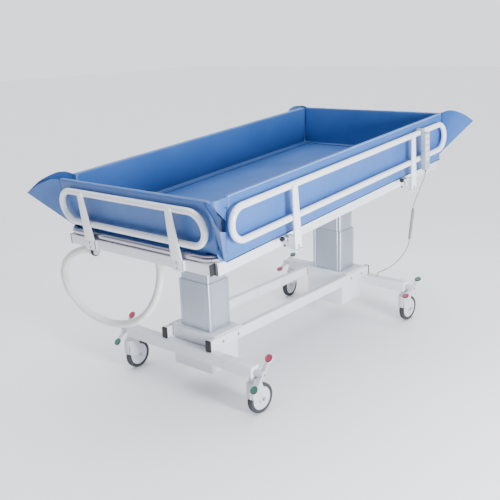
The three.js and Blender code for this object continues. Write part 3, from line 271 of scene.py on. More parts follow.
def cable_stretch(part, points, sides=12):
    """One stretch of the cable as a tube in the base's axes; returns it with its path in metres."""
    bm = bmesh.new()
    draw_tube(bm, points, [CABLE] * len(points), sides)
    piece = settle(bm, f"handset_cable_{part}", BASE, cable_sleeve, None, [f"cable_{part}"], 60)
    return piece, [BASE @ p for p in points]


handset_exit = BASE.inverted() @ (PLATFORM @ Vector((1666, -573.5, 39.7)))
straight_down = (PLATFORM.to_3x3() @ Vector((0, 0, -1))).normalized()
upper_route = [
    handset_exit,
    handset_exit + straight_down * 2 * CABLE,
    Vector((659, -565, 915)),
    Vector((668, -538, 855)),
    Vector((679, -511, 795)),
    curl_top - curl_line * (SEAM + 2 * CABLE),
    curl_top - curl_line * SEAM,
]
lower_route = [
    curl_end + curl_line * SEAM,
    curl_end + curl_line * (SEAM + 2 * CABLE),
    Vector((701, -441, 462)),
    Vector((707, -398, 398)),
    Vector((714, -338, 338)),
    Vector((720, -280, 298)),
    Vector((724, -242, 275)),
    Vector((724, -236, 257.5)),
    Vector((724, -236, 251.5)),
]
upper_cable, upper_path = cable_stretch("upper", smooth_route(upper_route, CABLE_SPACING))
lower_cable, lower_path = cable_stretch("lower", smooth_route(lower_route, CABLE_SPACING))

CURLS, CURL_RADIUS, CURL_STEPS, CURL_LEAD = 30, 6.6, 20, 12.0
across = Vector((1, 0, 0))
across = (across - curl_line * across.dot(curl_line)).normalized()
other = curl_line.cross(across)
wound = (curl_end - curl_top).length - 2 * CURL_LEAD
curl_points = [curl_top.copy(), curl_top + curl_line * 2 * CABLE]
steps = CURLS * CURL_STEPS
for i in range(1, steps):
    turned = 2 * math.pi * i / CURL_STEPS
    drawn_in = min(1, i / CURL_STEPS, (steps - i) / CURL_STEPS)
    radius = CURL_RADIUS * math.sin(drawn_in * math.pi / 2)
    along = CURL_LEAD + wound * i / steps
    curl_points.append(
        curl_top + curl_line * along + (across * math.cos(turned) + other * math.sin(turned)) * radius
    )
curl_points += [curl_end - curl_line * 2 * CABLE, curl_end.copy()]
curly_cable, curly_path = cable_stretch("curly", curl_points, 8)
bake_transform(upper_cable)
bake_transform(curly_cable)
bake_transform(lower_cable)

# Lifting columns
# Three telescopic stages at each end: extruded aluminium tubes with round corners and two grooves in each
# face, satin anodised. The inner stage carries a welded head with two lugs and the steel tilt pin.
# Places for flat outlines: in (v, w) and drawn along u, in (u, w) along v, and in (u, v) along w.
LENGTHWISE = Matrix(((0, 0, 1, 0), (1, 0, 0, 0), (0, 1, 0, 0), (0, 0, 0, 1)))
CROSSWISE = Matrix(((1, 0, 0, 0), (0, 0, 1, 0), (0, 1, 0, 0), (0, 0, 0, 1)))
UPRIGHT = Matrix.Identity(4)
MIRROR_V = Matrix.Diagonal((1, -1, 1, 1))
SIDES, ENDS = (("near", -1), ("far", 1)), (("front", -1), ("rear", 1))


def round_edges(bm, edges, radius, steps=2, clamp=True):
    """Rounds edges to a given radius."""
    bmesh.ops.bevel(
        bm, geom=edges, offset=radius, segments=steps, profile=0.5, affect="EDGES", material=-1,
        clamp_overlap=clamp,
    )


def soften(bm, verts, radius, steps=2):
    """Rounds all the edges of a new solid."""
    edges = list({edge for vert in verts for edge in vert.link_edges})
    bmesh.ops.recalc_face_normals(bm, faces=list({face for vert in verts for face in vert.link_faces}))
    round_edges(bm, edges, radius, steps)


def thicken(bm, faces, place, thick):
    """Extrudes flat faces along a place's third axis; returns the new points."""
    made = bmesh.ops.extrude_face_region(bm, geom=faces)["geom"]
    tops = [g for g in made if isinstance(g, bmesh.types.BMVert)]
    bmesh.ops.translate(bm, verts=tops, vec=place.to_3x3() @ Vector((0, 0, thick)))
    return tops


def add_slab(bm, outline, place, thick, radius=1.2, steps=2):
    """A flat outline given some thickness, with softened edges."""
    verts = [bm.verts.new(place @ Vector((a, b, 0))) for a, b in outline]
    soften(bm, verts + thicken(bm, [bm.faces.new(verts)], place, thick), radius, steps)


def add_bar(bm, low, high, radius=1.2, steps=2, place=UPRIGHT):
    """A rectangular bar between two corners, with softened edges."""
    low, high = Vector(low), Vector(high)
    whole = place @ Matrix.Translation((low + high) / 2) @ Matrix.Diagonal((*(high - low), 1))
    soften(bm, bmesh.ops.create_cube(bm, size=1, matrix=whole)["verts"], radius, steps)


def add_rod(bm, start, end, radius, edge=0.8, sides=32, end_radius=None):
    """A round rod between two points, its end edges softened."""
    start, end = Vector(start), Vector(end)
    turn = (end - start).to_track_quat("Z", "Y").to_matrix().to_4x4()
    made = bmesh.ops.create_cone(
        bm, cap_ends=True, segments=sides, radius1=radius, radius2=end_radius or radius,
        depth=(end - start).length, matrix=Matrix.Translation((start + end) / 2) @ turn,
    )
    rims = {e for v in made["verts"] for e in v.link_edges if any(len(f.verts) > 4 for f in e.link_faces)}
    if sides > 8 and edge:
        round_edges(bm, list(rims), edge, 2, False)


def add_turned(bm, profile, place, steps=64):
    """A profile of (radius, height) points spun about an axis."""
    verts = [bm.verts.new((r, 0, h)) for r, h in profile]
    edges = [bm.edges.new(pair) for pair in zip(verts, verts[1:])]
    if profile[0] == profile[-1]:
        bmesh.ops.remove_doubles(bm, verts=verts, dist=0.001)
        verts = [v for v in verts if v.is_valid]
        edges = [e for e in edges if e.is_valid]
    before = set(bm.verts) - set(verts)
    bmesh.ops.spin(
        bm, geom=verts + edges, cent=(0, 0, 0), axis=(0, 0, 1), dvec=(0, 0, 0), angle=2 * math.pi,
        steps=steps, use_merge=True,
    )
    bmesh.ops.transform(bm, matrix=place, verts=[v for v in bm.verts if v not in before])


def add_hex_bolt(bm, at, outward, size=9.0, head=5.0):
    """A hexagon head on a washer, as seen on the outside of a tube."""
    at, outward = Vector(at), Vector(outward)
    add_rod(bm, at, at + outward * 1.4, size * 0.95, 0.4)
    add_rod(bm, at + outward, at + outward * (1.4 + head), size * 0.62, 0, 6)
    add_rod(bm, at + outward * (head + 1), at + outward * (1.9 + head), size * 0.5, 0.4, 24)


def arc(a, b, radius, start, stop, steps=8):
    """Points of an arc about (a, b), angles in quarter turns."""
    angles = [(start + (stop - start) * i / steps) * math.pi / 2 for i in range(steps + 1)]
    return [(a + radius * math.cos(t), b + radius * math.sin(t)) for t in angles]


def rounded(a0, a1, b0, b1, radius, steps=6):
    """The outline of a rectangle with round corners."""
    return (
        arc(a1 - radius, b0 + radius, radius, -1, 0, steps)
        + arc(a1 - radius, b1 - radius, radius, 0, 1, steps)
        + arc(a0 + radius, b1 - radius, radius, 1, 2, steps)
        + arc(a0 + radius, b0 + radius, radius, 2, 3, steps)
    )


def add_pierced(bm, outline, hole, place, thick):
    """A flat outline with one hole, given some thickness."""
    edges = []
    for points in (outline, hole):
        verts = [bm.verts.new(place @ Vector((a, b, 0))) for a, b in points]
        edges += [bm.edges.new(pair) for pair in zip(verts, verts[1:] + verts[:1])]
    filled = bmesh.ops.triangle_fill(bm, use_beauty=True, use_dissolve=True, edges=edges)["geom"]
    thicken(bm, [g for g in filled if isinstance(g, bmesh.types.BMFace)], place, thick)


TALL, HARD_ANGLE = 60, math.radians(28)  # the least rise of an upright edge, the least angle of a hard one


def softened_copy(node, name, material, body, radius, upright=0):
    """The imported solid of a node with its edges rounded, the tall upright ones first and wider if asked."""
    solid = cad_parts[node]
    bm = bmesh.new()
    bm.from_mesh(solid.data)
    bm.transform(FROM_MM.inverted() @ solid.matrix_world)
    bmesh.ops.remove_doubles(bm, verts=bm.verts, dist=0.01)
    bmesh.ops.dissolve_limit(bm, angle_limit=math.radians(1), verts=bm.verts, edges=bm.edges)
    if upright:
        tall = [e for e in bm.edges if abs(e.verts[0].co.z - e.verts[1].co.z) > TALL]
        round_edges(bm, tall, upright, 3)
    hard = [e for e in bm.edges if e.is_manifold and e.calc_face_angle(0) > HARD_ANGLE]
    round_edges(bm, hard, radius)
    settle(bm, name, FROM_MM, material, body, [node])


# Epoxy powder coat on steel tube, sprayed and baked: hard gloss with a faint orange peel.
powder_coat = plain_finish(
    "epoxy_powder_coat", "white_paint", "dfe4ec", "eef1f5", (0.26, 0.36), 0.0025, 0.00012, IOR=1.5,
    Coat_Weight=0.25, Coat_Roughness=0.12,
)
# Zinc-plated steel of the latches, pins and bolts: electroplated and passivated.
zinc_steel = plain_finish(
    "zinc_plated_steel", "bright_steel", "9ea4ab", "c3c8ce", (0.24, 0.4), 0.0015, 0.00004, Metallic=1.0
)
# Extruded aluminium, etched and clear anodised: fine lengthwise drawing lines in a satin sheen.
anodised, shader = start_material("anodised_aluminium", "column_aluminium", Metallic=0.85, IOR=1.45)
where = add_node(anodised, "TexCoord")
streaked = add_node(anodised, "Mapping", {"Vector": (where, 3), "Scale": (900.0, 900.0, 3.0)})
lines = add_node(anodised, "TexNoise", {"Vector": (streaked, 0), "Scale": 1.0, "Detail": 3.0})
clouds = add_node(anodised, "TexNoise", {"Vector": (where, 3), "Scale": 4.0, "Detail": 3.0})
tint = add_node(
    anodised, "Mix", {0: (clouds, 0), 6: linear("aab2bf"), 7: linear("c2c9d3")}, data_type="RGBA"
)
gloss = add_node(anodised, "MapRange", {0: (lines, 0), 1: 0.3, 2: 0.7, 3: 0.36, 4: 0.5})
relief = add_node(anodised, "Bump", {"Height": (lines, 0), "Strength": 0.12, "Distance": 0.00005})
wire(anodised, shader, (tint, 2), (gloss, 0), (relief, 0))

COLUMN_X = 586
OUTER_SIZE, STEP, CORNER = (155, 204), 18, 9
GROOVE_DEPTH, GROOVE_HALF, GROOVE_INSET = 2.4, 3.4, 20
COLUMN_TOP, COLUMN_FOOT, STAGE_LENGTH = 564, 114.3, 441
LUG_SPACING, LUG_THICK, HEAD_PLATE = 45, 10, 10
FRONT_PIVOT = 775
PIVOT_DROP = 30
REAR_PIVOT = FRONT_PIVOT + 2 * COLUMN_X * math.tan(TILT)


def stage_outline(level):
    """Half-turn symmetric outline of one stage, grooved except on the inner one."""
    half_x = (OUTER_SIZE[0] - level * STEP) / 2
    half_y = (OUTER_SIZE[1] - level * STEP) / 2
    points = []
    for turn, (reach, half) in enumerate([(half_x, half_y), (half_y, half_x)] * 2):
        side = [(reach, -half + CORNER)]
        for middle in (-half + GROOVE_INSET, half - GROOVE_INSET) if level < 2 else ():
            side += [
                (reach, middle - GROOVE_HALF),
                (reach - GROOVE_DEPTH, middle - GROOVE_HALF / 2),
                (reach - GROOVE_DEPTH, middle + GROOVE_HALF / 2),
                (reach, middle + GROOVE_HALF),
            ]
        side += arc(reach - CORNER, half - CORNER, CORNER, 0, 1, 6)
        spin = Matrix.Rotation(turn * math.pi / 2, 2)
        points += [tuple(spin @ Vector(p)) for p in side[:-1]]
    return points


def add_stage(bm, level, top, bottom, x):
    """One tube of a column; its top edge shows the wall round the next stage."""
    verts = [bm.verts.new((x + a, b, bottom)) for a, b in stage_outline(level)]
    tops = set(thicken(bm, [bm.faces.new(verts)], UPRIGHT, top - bottom))
    rim = {e for v in tops for e in v.link_edges if tops.issuperset(e.verts)}
    round_edges(bm, list(rim), 0.5, 2, False)


for end, pivot_z in (("front", FRONT_PIVOT), ("rear", REAR_PIVOT)):
    x = -COLUMN_X if end == "front" else COLUMN_X
    inner_top = pivot_z - PIVOT_DROP
    middle_top = COLUMN_TOP + (inner_top - COLUMN_TOP) / 2
    tops = (COLUMN_TOP, middle_top, inner_top)
    bodies = ("base", f"{end}_middle", f"{end}_inner")
    for level, (stage_name, top, body) in enumerate(zip(("outer", "middle", "inner"), tops, bodies)):
        bm = bmesh.new()
        bottom = COLUMN_FOOT if level == 0 else top - STAGE_LENGTH
        add_stage(bm, level, top, bottom, x)
        if level == 2:
            for sign in (-1, 1):
                lug = [(x - 22, top + 9.5), (x + 22, top + 9.5), (x + 14, pivot_z)]
                lug += arc(x, pivot_z, 14, 0, 2, 16)[1:]
                place = CROSSWISE.copy()
                place.translation = (0, sign * LUG_SPACING - LUG_THICK / 2, 0)
                add_slab(bm, lug, place, LUG_THICK, 1.0)
            half = [s / 2 - STEP for s in OUTER_SIZE]
            low = (x - half[0], -half[1], top - 1)
            add_bar(bm, low, (x + half[0], half[1], top + HEAD_PLATE), 2.5, 3)
        settle(
            bm, f"column_{stage_name}_tube_{end}", BASE, anodised, body, [f"column_{stage_name}_{end}"], 30
        )
    bm = bmesh.new()
    add_rod(bm, (x, -70, pivot_z), (x, 70, pivot_z), 8, 1.2)
    settle(bm, f"tilt_pin_{end}", BASE, zinc_steel, f"{end}_inner")
    softened_copy(f"column_housing_{end}", f"column_housing_shell_{end}", powder_coat, "base", 2.0)

# Base rails and cross legs
# Rectangular steel tube, welded and powder coated; black polyamide plugs close the rails' ends.
# Black polyamide, injection moulded with a spark-eroded grain.
black_plastic = plain_finish(
    "moulded_black_polyamide", "black_plastic", "111317", "1b1d21", (0.45, 0.6), 0.0007, 0.00006
)
RAIL_Z, RAIL_Y, RAIL_HALF, PLUG = (251.5, 309), (136, 168), 728, 12
LEG_Z, LEG_X, LEG_HALF = (194.2, 251.2), (696, 752), 436
for side, sign in SIDES:
    y0, y1 = sorted(sign * y for y in RAIL_Y)
    bm = bmesh.new()
    add_bar(bm, (-RAIL_HALF, y0, RAIL_Z[0]), (RAIL_HALF, y1, RAIL_Z[1]), 4, 4)
    settle(bm, f"base_rail_tube_{side}", BASE, powder_coat, "base", [f"base_rail_{side}"])
    bm = bmesh.new()
    for x in (-643, -528, 528, 643):
        add_hex_bolt(bm, (x, sign * RAIL_Y[1], 280), (0, sign, 0), 8, 3)
    settle(bm, f"base_bolts_{side}", BASE, zinc_steel, "base")
    for end, way in ENDS:
        bm = bmesh.new()
        x0, x1 = sorted(way * (RAIL_HALF + x) for x in (0.3, 0.3 + PLUG))
        add_bar(bm, (x0, y0, RAIL_Z[0]), (x1, y1, RAIL_Z[1]), 4, 4)
        settle(bm, f"rail_plug_{end}_{side}", BASE, black_plastic, "base", [f"rail_cap_{end}_{side}"])
for end, way in ENDS:
    bm = bmesh.new()
    x0, x1 = sorted(way * x for x in LEG_X)
    add_bar(bm, (x0, -LEG_HALF, LEG_Z[0]), (x1, LEG_HALF, LEG_Z[1]), 5, 4)
    settle(bm, f"cross_leg_tube_{end}", BASE, powder_coat, "base", [f"cross_leg_{end}"])

# Castors and brake pedals
# 150 mm castors: a moulded hood that swivels under the leg and covers the wheel's trailing half, a nylon
# wheel with a grey rubber tread, an axle with nuts, and a rocking pedal with two round pads.
# Grey thermoplastic rubber tread, moulded on the wheel.
tyre_rubber = plain_finish("moulded_grey_tpe", "grey_tyre", "2f3236", "3d4045", (0.6, 0.78), 0.0012, 0.00012)
# Light grey glass-filled nylon of the castor forks and hubs, injection moulded.
castor_nylon = plain_finish(
    "moulded_grey_nylon", "castor_plastic", "c6cad0", "dde0e4", (0.36, 0.5), 0.0008, 0.00005
)
# Coloured polypropylene foot pads, moulded in the mass: red to brake, green to free the castors.
red_pad = plain_finish(
    "moulded_red_polypropylene", "castor_plastic", "a83250", "bd4560", (0.38, 0.5), 0.0008, 0.00005
)
green_pad = plain_finish(
    "moulded_green_polypropylene", "castor_plastic", "2f6b5a", "3f7f6c", (0.38, 0.5), 0.0008, 0.00005
)
CASTOR_X, CASTOR_Y, TRAIL, WHEEL = 724, 430, 34, 75
CASTOR_TURNS = {"front_near": -4, "front_far": 2, "rear_near": -4, "rear_far": 186}
AXLE = Matrix.Rotation(math.pi / 2, 4, "X")


def both_faces(half):
    """A closed profile from its lower half."""
    return half + [(r, -h) for r, h in reversed(half) if h] + half[:1]


TREAD = both_faces([
    (57.3, -12.5), (61, -13.8), (66, -15.4), (69.5, -15.2), (72.4, -13.2), (74.3, -10), (74.9, -5), (75, 0)
])
HUB = both_faces([
    (7, -15.8), (12, -15.8), (13.5, -14.6), (50, -13.6), (54, -12.6), (56.2, -12.4), (56.9, -11)
])
PEDAL_Y, PEDAL_Z, PEDAL_REACH, PEDAL_END, PEDAL_HALF = 476, 220, 82, 20, 12
PEDAL_AXLE, PEDAL_TURN = (436.6, 492), {"front": 46, "rear": 23}
FORK_HALF = 24
PAD = [(0, 0), (16.8, 0), (16.8, 5.2), (16, 6), (14.2, 6), (13.2, 4.8), (0, 4.8), (0, 0)]
PAD_RING = [(16.9, 0), (19.4, 0), (19.4, 3.6), (18.8, 4.4), (16.9, 4.4), (16.9, 0)]
for (end, way), (side, sign) in product(ENDS, SIDES):
    corner = f"{end}_{side}"
    castor = Matrix.Translation((way * CASTOR_X, sign * CASTOR_Y, 0)) @ Matrix.Rotation(
        math.radians(CASTOR_TURNS[corner]), 4, "Z"
    )
    wheel = castor @ Matrix.Translation((TRAIL, 0, WHEEL)) @ AXLE
    bm = bmesh.new()
    add_turned(bm, TREAD, wheel)
    settle(bm, f"tread_{corner}", BASE, tyre_rubber, f"wheel_{corner}", [f"castor_tyre_{corner}"], 45)
    bm = bmesh.new()
    add_turned(bm, HUB, wheel)
    settle(bm, f"wheel_body_{corner}", BASE, castor_nylon, f"wheel_{corner}", [f"castor_hub_{corner}"], 40)
    softened_copy(
        f"castor_fork_{corner}", f"castor_hood_{corner}", castor_nylon, f"castor_{corner}", 1.6, 5.5
    )
    bm = bmesh.new()
    ends = [castor @ Vector((TRAIL, face * FORK_HALF, WHEEL)) for face in (-1, 1)]
    for face, at in zip((-1, 1), ends):
        add_hex_bolt(bm, at, castor.to_3x3() @ Vector((0, face, 0)), 12, 2.5)
    add_rod(bm, *ends, 5.5)
    settle(bm, f"axle_{corner}", BASE, zinc_steel, f"castor_{corner}")
    turn = Matrix.Rotation(-math.radians(PEDAL_TURN[end]), 4, "Y")
    rocker = Matrix.Translation((way * CASTOR_X, 0, PEDAL_Z)) @ turn
    if sign < 0:
        rocker = rocker @ MIRROR_V
    bm = bmesh.new()
    neck = math.asin(PEDAL_HALF / PEDAL_END) * 2 / math.pi
    plate = arc(PEDAL_REACH, PEDAL_Y, PEDAL_END, neck - 2, 2 - neck, 24)
    plate += arc(-PEDAL_REACH, PEDAL_Y, PEDAL_END, neck, 4 - neck, 24)
    add_slab(bm, plate, rocker @ Matrix.Translation((0, 0, -4)), 8, 1.8, 3)
    ends = [rocker @ Vector((0, y, 0)) for y in PEDAL_AXLE]
    add_rod(bm, *ends, 16, 2.5, 40)
    settle(bm, f"brake_rocker_{corner}", BASE, castor_nylon, f"pedal_{corner}", [f"brake_pedal_{corner}"])
    bm = bmesh.new()
    add_hex_bolt(bm, ends[1], (0, sign, 0), 9, 2.5)
    settle(bm, f"rocker_bolt_{corner}", BASE, zinc_steel, f"pedal_{corner}")
    # each pad is a round cap with a raised rim, pressed into a dark ring on top of the plate's end
    bm = bmesh.new()
    for reach in (-PEDAL_REACH, PEDAL_REACH):
        add_turned(bm, PAD_RING, rocker @ Matrix.Translation((reach, PEDAL_Y, 3.4)), 40)
    settle(bm, f"pad_rings_{corner}", BASE, black_plastic, f"pedal_{corner}", slot="castor_plastic")
    for reach in (-PEDAL_REACH, PEDAL_REACH):
        inner = (reach > 0) == (end == "front")
        bm = bmesh.new()
        add_turned(bm, PAD, rocker @ Matrix.Translation((reach, PEDAL_Y, 3.2)), 40)
        settle(
            bm, f"{'brake' if inner else 'free'}_pad_{corner}", BASE, red_pad if inner else green_pad,
            f"pedal_{corner}",
        )

# Tilting frame
# Rectangular steel tube frame under the liner: two side tubes with hinge lugs and latch guides, two end
# cross tubes, two crossmembers with the tilt lugs, and a round rim tube on a thin sheet.
# Stainless steel of the rim tube, bent and brushed to a soft shine.
polished_steel = plain_finish(
    "polished_stainless_steel", "bright_steel", "a9a8b4", "c9c8d2", (0.16, 0.3), 0.0012, 0.00002,
    Metallic=1.0,
)
HEAD_LINE, MIDDLE, CROSS_HALF, CROSS_W = 2020, 1010, 17, (-30, 20)
for side in ("near", "far"):
    softened_copy(f"side_tube_{side}", f"side_tube_body_{side}", powder_coat, "platform", 1.2)
for end in ("front", "rear"):
    softened_copy(f"tilt_crossmember_{end}", f"tilt_crossmember_body_{end}", powder_coat, "platform", 1.2)
for end, u in (("foot", 0), ("head", HEAD_LINE)):
    bm = bmesh.new()
    add_bar(bm, (u - CROSS_HALF, -460, CROSS_W[0]), (u + CROSS_HALF, 460, CROSS_W[1]), 4, 4)
    settle(bm, f"cross_tube_body_{end}", PLATFORM, powder_coat, "platform", [f"cross_tube_{end}"])
for side, sign in SIDES:
    v0, v1 = sorted((sign * 460.3, sign * 465.3))
    bm = bmesh.new()
    add_bar(bm, (-CROSS_HALF, v0, CROSS_W[0]), (CROSS_HALF, v1, CROSS_W[1]), 2, 3)
    settle(bm, f"cross_tube_plug_{side}", PLATFORM, black_plastic, "platform", [f"cross_tube_cap_{side}"])


def loop_points(half_a, half_b, corner, steps=14, spacing=40):
    """Centre points of a closed rounded loop about the origin, evenly enough spaced for a tube."""
    outline = rounded(-half_a, half_a, -half_b, half_b, corner, steps)
    points = []
    for (a0, b0), (a1, b1) in zip(outline, outline[1:] + outline[:1]):
        gap = math.hypot(a1 - a0, b1 - b0)
        if gap < 0.01:
            continue
        cuts = max(1, round(gap / spacing))
        points += [(a0 + (a1 - a0) * i / cuts, b0 + (b1 - b0) * i / cuts) for i in range(cuts)]
    return points


RIM, RIM_HALF, RIM_CORNER, RIM_W = 17, 473, 57, 37.3
DRAIN = (74, -54)
bm = bmesh.new()
rim_line = [Vector((MIDDLE + a, b, RIM_W)) for a, b in loop_points(MIDDLE, RIM_HALF, RIM_CORNER)]
draw_tube(bm, rim_line, [RIM] * len(rim_line), 24, closed=True)
settle(bm, "rim_tube", PLATFORM, polished_steel, "platform")
bm = bmesh.new()
add_slab(
    bm, rounded(0, HEAD_LINE, -RIM_HALF, RIM_HALF, RIM_CORNER), Matrix.Translation((0, 0, 20.3)), 4, 0.6
)
settle(bm, "deck_sheet", PLATFORM, powder_coat, "platform", ["deck"])
bm = bmesh.new()
flange = [(11, -10), (29, -10), (30, -9), (30, 20.3), (11, 20.3), (11, -10)]
spigot = [(12, -30), (17, -30), (18, -29), (18, -9.5), (12, -9.5), (12, -30)]
for profile in (flange, spigot):
    add_turned(bm, profile, Matrix.Translation((*DRAIN, 0)), 40)
settle(bm, "drain_outlet", PLATFORM, castor_nylon, "platform", slot="white_paint")

# Side rails
# Round steel tube bent to a long loop and welded to two flat tapered posts, which turn on hinge bolts
# below the frame; powder coated bright white.
# The same coat on the rails, a brighter white.
rail_coat = plain_finish(
    "epoxy_powder_coat_rails", "rail_paint", "eaeef4", "f7f9fb", (0.2, 0.3), 0.0025, 0.0001, IOR=1.5,
    Coat_Weight=0.4, Coat_Roughness=0.08,
)
LOOP, LOOP_TOP, LOOP_BOTTOM, LOOP_END, RAIL_V = 15, 262, 87, 42, 540
POST, HINGE, LATCH = 545, (535, -38), (522, 14)
HOLE = 6.5
for side, sign in SIDES:
    flip = UPRIGHT if sign > 0 else MIRROR_V
    half_height = (LOOP_TOP - LOOP_BOTTOM) / 2 - LOOP
    half_length = MIDDLE - LOOP_END - LOOP
    bm = bmesh.new()
    rail_line = [
        Vector((MIDDLE + a, sign * RAIL_V, (LOOP_TOP + LOOP_BOTTOM) / 2 + b))
        for a, b in loop_points(half_length, half_height, half_height, 16)
    ]
    draw_tube(bm, rail_line, [LOOP] * len(rail_line), 32, closed=True)
    for way in (-1, 1):
        u = MIDDLE + way * POST
        post = [(u - 25, -56), (u - 23, -58), (u - 10.5, -58), (u - 10.5, -24), (u + 10.5, -24)]
        post += [(u + 10.5, -58), (u + 23, -58), (u + 25, -56), (u + 25, 0)]
        post += [(u + 18, 246), (u + 13, 252), (u - 13, 252), (u - 18, 246), (u - 25, 0)]
        add_slab(bm, post, flip @ Matrix.Translation((0, 555, 0)) @ CROSSWISE, 8, 1.5, 3)
        # the cheek on the latch's side reaches up to a tab with a six-sided hole for the bolt
        cheek = [(562, -54), (562, 12)] + arc(*HINGE, 13, 1, 3, 12)
        add_slab(bm, cheek, flip @ Matrix.Translation((u + 10.5, 0, 0)) @ LENGTHWISE, 6, 0.8)
        tab = [(562, -54), (562, 23), (522, 23), (513, 14), (522, -38), (535, -51)]
        angles = [k * math.pi / 3 for k in range(6)]
        hole = [(LATCH[0] + HOLE * math.cos(t), LATCH[1] + HOLE * math.sin(t)) for t in angles]
        add_pierced(bm, tab, hole, flip @ Matrix.Translation((u - 16.5, 0, 0)) @ LENGTHWISE, 6)
    settle(bm, f"side_rail_tube_{side}", PLATFORM, rail_coat, f"rail_{side}", [f"side_rail_{side}"])
    bm = bmesh.new()
    for way in (-1, 1):
        u = MIDDLE + way * POST
        for a in (-17.5, 17.5):
            add_hex_bolt(bm, (u + a, sign * 563, -46), (0, sign, 0), 5, 2)
    settle(bm, f"post_bolts_{side}", PLATFORM, zinc_steel, f"rail_{side}")
    bm = bmesh.new()
    for way in (-1, 1):
        for w in (-9, -40):
            v = sign * (472 if w > -20 else 490)
            u = MIDDLE + way * POST
            add_rod(bm, (u - 12.2, v, w), (u - 9, v, w), 5.5, 0.8)
    settle(bm, f"hinge_screws_{side}", PLATFORM, black_plastic, "platform")

# Latches
# Spring bolts of zinc-plated steel beside the hinges, each with a ribbed black pull knob.
for (side, sign), (end, way) in product(SIDES, (("foot", -1), ("head", 1))):
    u = MIDDLE + way * POST
    v, w = sign * LATCH[0], LATCH[1]
    stop = u - 58.5
    bm = bmesh.new()
    add_rod(bm, (stop - 1, v, w), (u - 21.5, v, w), 5, 0.8)
    add_rod(bm, (u - 34.5, v, w), (u - 26.5, v, w), 8, 0.8)
    settle(
        bm, f"latch_bolt_{end}_{side}", PLATFORM, zinc_steel, f"latch_{end}_{side}", [f"latch_{end}_{side}"]
    )
    bm = bmesh.new()
    knob = [(0, 0), (9.5, 0), (11, 1.5), (11, 5), (9.5, 6), (9.5, 10), (10.5, 12), (10.5, 14.5), (9, 16)]
    knob += [(0, 16), (0, 0)]
    turn = Matrix.Translation((stop - 16, v, w)) @ Matrix.Rotation(math.pi / 2, 4, "Y")
    add_turned(bm, knob, turn, 32)
    settle(
        bm, f"latch_knob_{end}_{side}", PLATFORM, black_plastic, f"latch_{end}_{side}", slot="bright_steel"
    )

# End rails
# A shorter loop of the same tube leans out with the end wall on two flat tapered posts; their square feet
# with a stiffening flange are bolted to the end cross tube.
LEAN, END_RAIL_LEAN = math.radians(7.4), math.radians(4.6)
END_POST, END_LOOP_HALF, END_LOOP_W = 290, 480, (80, 262)
FOOT_PLATE = (-36.3, -29.3)
HEAD_FLIP = Matrix.Translation((HEAD_LINE, 0, 0)) @ Matrix.Diagonal((-1, 1, 1, 1))
for end, flip in (("foot", UPRIGHT), ("head", HEAD_FLIP)):
    leaning = flip @ Matrix.Translation((FOOT_PLATE[1], 0, 20)) @ Matrix.Rotation(-END_RAIL_LEAN, 4, "Y")
    half_height = (END_LOOP_W[1] - END_LOOP_W[0]) / 2 - LOOP
    bm = bmesh.new()
    end_line = [
        leaning @ Vector((LOOP, a, 151 + b))
        for a, b in loop_points(END_LOOP_HALF - LOOP, half_height, half_height, 16)
    ]
    draw_tube(bm, end_line, [LOOP] * len(end_line), 32, closed=True)
    for sign in (-1, 1):
        v = sign * END_POST
        post = [(v - 32, 0), (v + 32, 0), (v + 17, 230), (v + 12, 236), (v - 12, 236), (v - 17, 230)]
        add_slab(bm, post, leaning @ Matrix.Translation((-7, 0, 0)) @ LENGTHWISE, 7, 1.2)
        add_bar(bm, (FOOT_PLATE[0], v - 32, -29), (FOOT_PLATE[1], v + 32, 21), 1.2, 2, flip)
        for edge in (-32, 28):
            add_bar(bm, (FOOT_PLATE[0], v + edge, -27), (-17.3, v + edge + 4, 19), 0.8, 2, flip)
    settle(bm, f"end_rail_tube_{end}", PLATFORM, rail_coat, "platform", [f"end_rail_{end}"])
    bm = bmesh.new()
    for sign in (-1, 1):
        for w in (-16, 8):
            at = flip @ Vector((FOOT_PLATE[0], sign * END_POST, w))
            add_hex_bolt(bm, at, flip.to_3x3() @ Vector((-1, 0, 0)), 7, 3)
    settle(bm, f"end_rail_bolts_{end}", PLATFORM, zinc_steel, "platform")

# Handset and hose clip
# A slim ABS body with a film keypad hangs from the near rail by a moulded hook; its cable leaves through a
# soft sleeve. The hose's free end sits in a black polyamide clip under the foot cross tube.
# Acrylonitrile-butadiene-styrene of the handset, injection moulded with a fine grain.
handset_abs = plain_finish(
    "moulded_grey_abs", "handset_plastic", "9aa1aa", "aeb4bb", (0.42, 0.55), 0.0006, 0.00006
)
# Printed polyester film over the handset's keys.
key_film = plain_finish(
    "printed_polyester_film", "handset_plastic", "c9ced4", "d6dade", (0.25, 0.35), 0.0004, 0.00002
)
key_ink = plain_finish(
    "screen_printed_ink", "handset_plastic", "2c3a56", "34435f", (0.35, 0.45), 0.0004, 0.00002
)
HANDSET_U = 1666
bm = bmesh.new()
place = MIRROR_V @ Matrix.Translation((0, 561, 0)) @ CROSSWISE
add_slab(bm, rounded(HANDSET_U - 26, HANDSET_U + 26, 40, 250, 9), place, 25, 4, 4)
hook = [
    (555.3, 210), (561.5, 210), (561.5, 267.3), (556, 267.8), (524, 267.8), (519.7, 264), (519.7, 232),
    (524.7, 232), (524.7, 262.3), (555.3, 262.3),
]
add_slab(bm, hook, MIRROR_V @ Matrix.Translation((HANDSET_U - 14, 0, 0)) @ LENGTHWISE, 28, 0.8)
settle(bm, "handset_body", PLATFORM, handset_abs, "rail_near", ["handset"])
bm = bmesh.new()
film = MIRROR_V @ Matrix.Translation((0, 585.9, 0)) @ CROSSWISE
add_slab(bm, rounded(HANDSET_U - 19, HANDSET_U + 19, 92, 238, 5), film, 0.5, 0.2)
settle(bm, "handset_film", PLATFORM, key_film, "rail_near")
bm = bmesh.new()
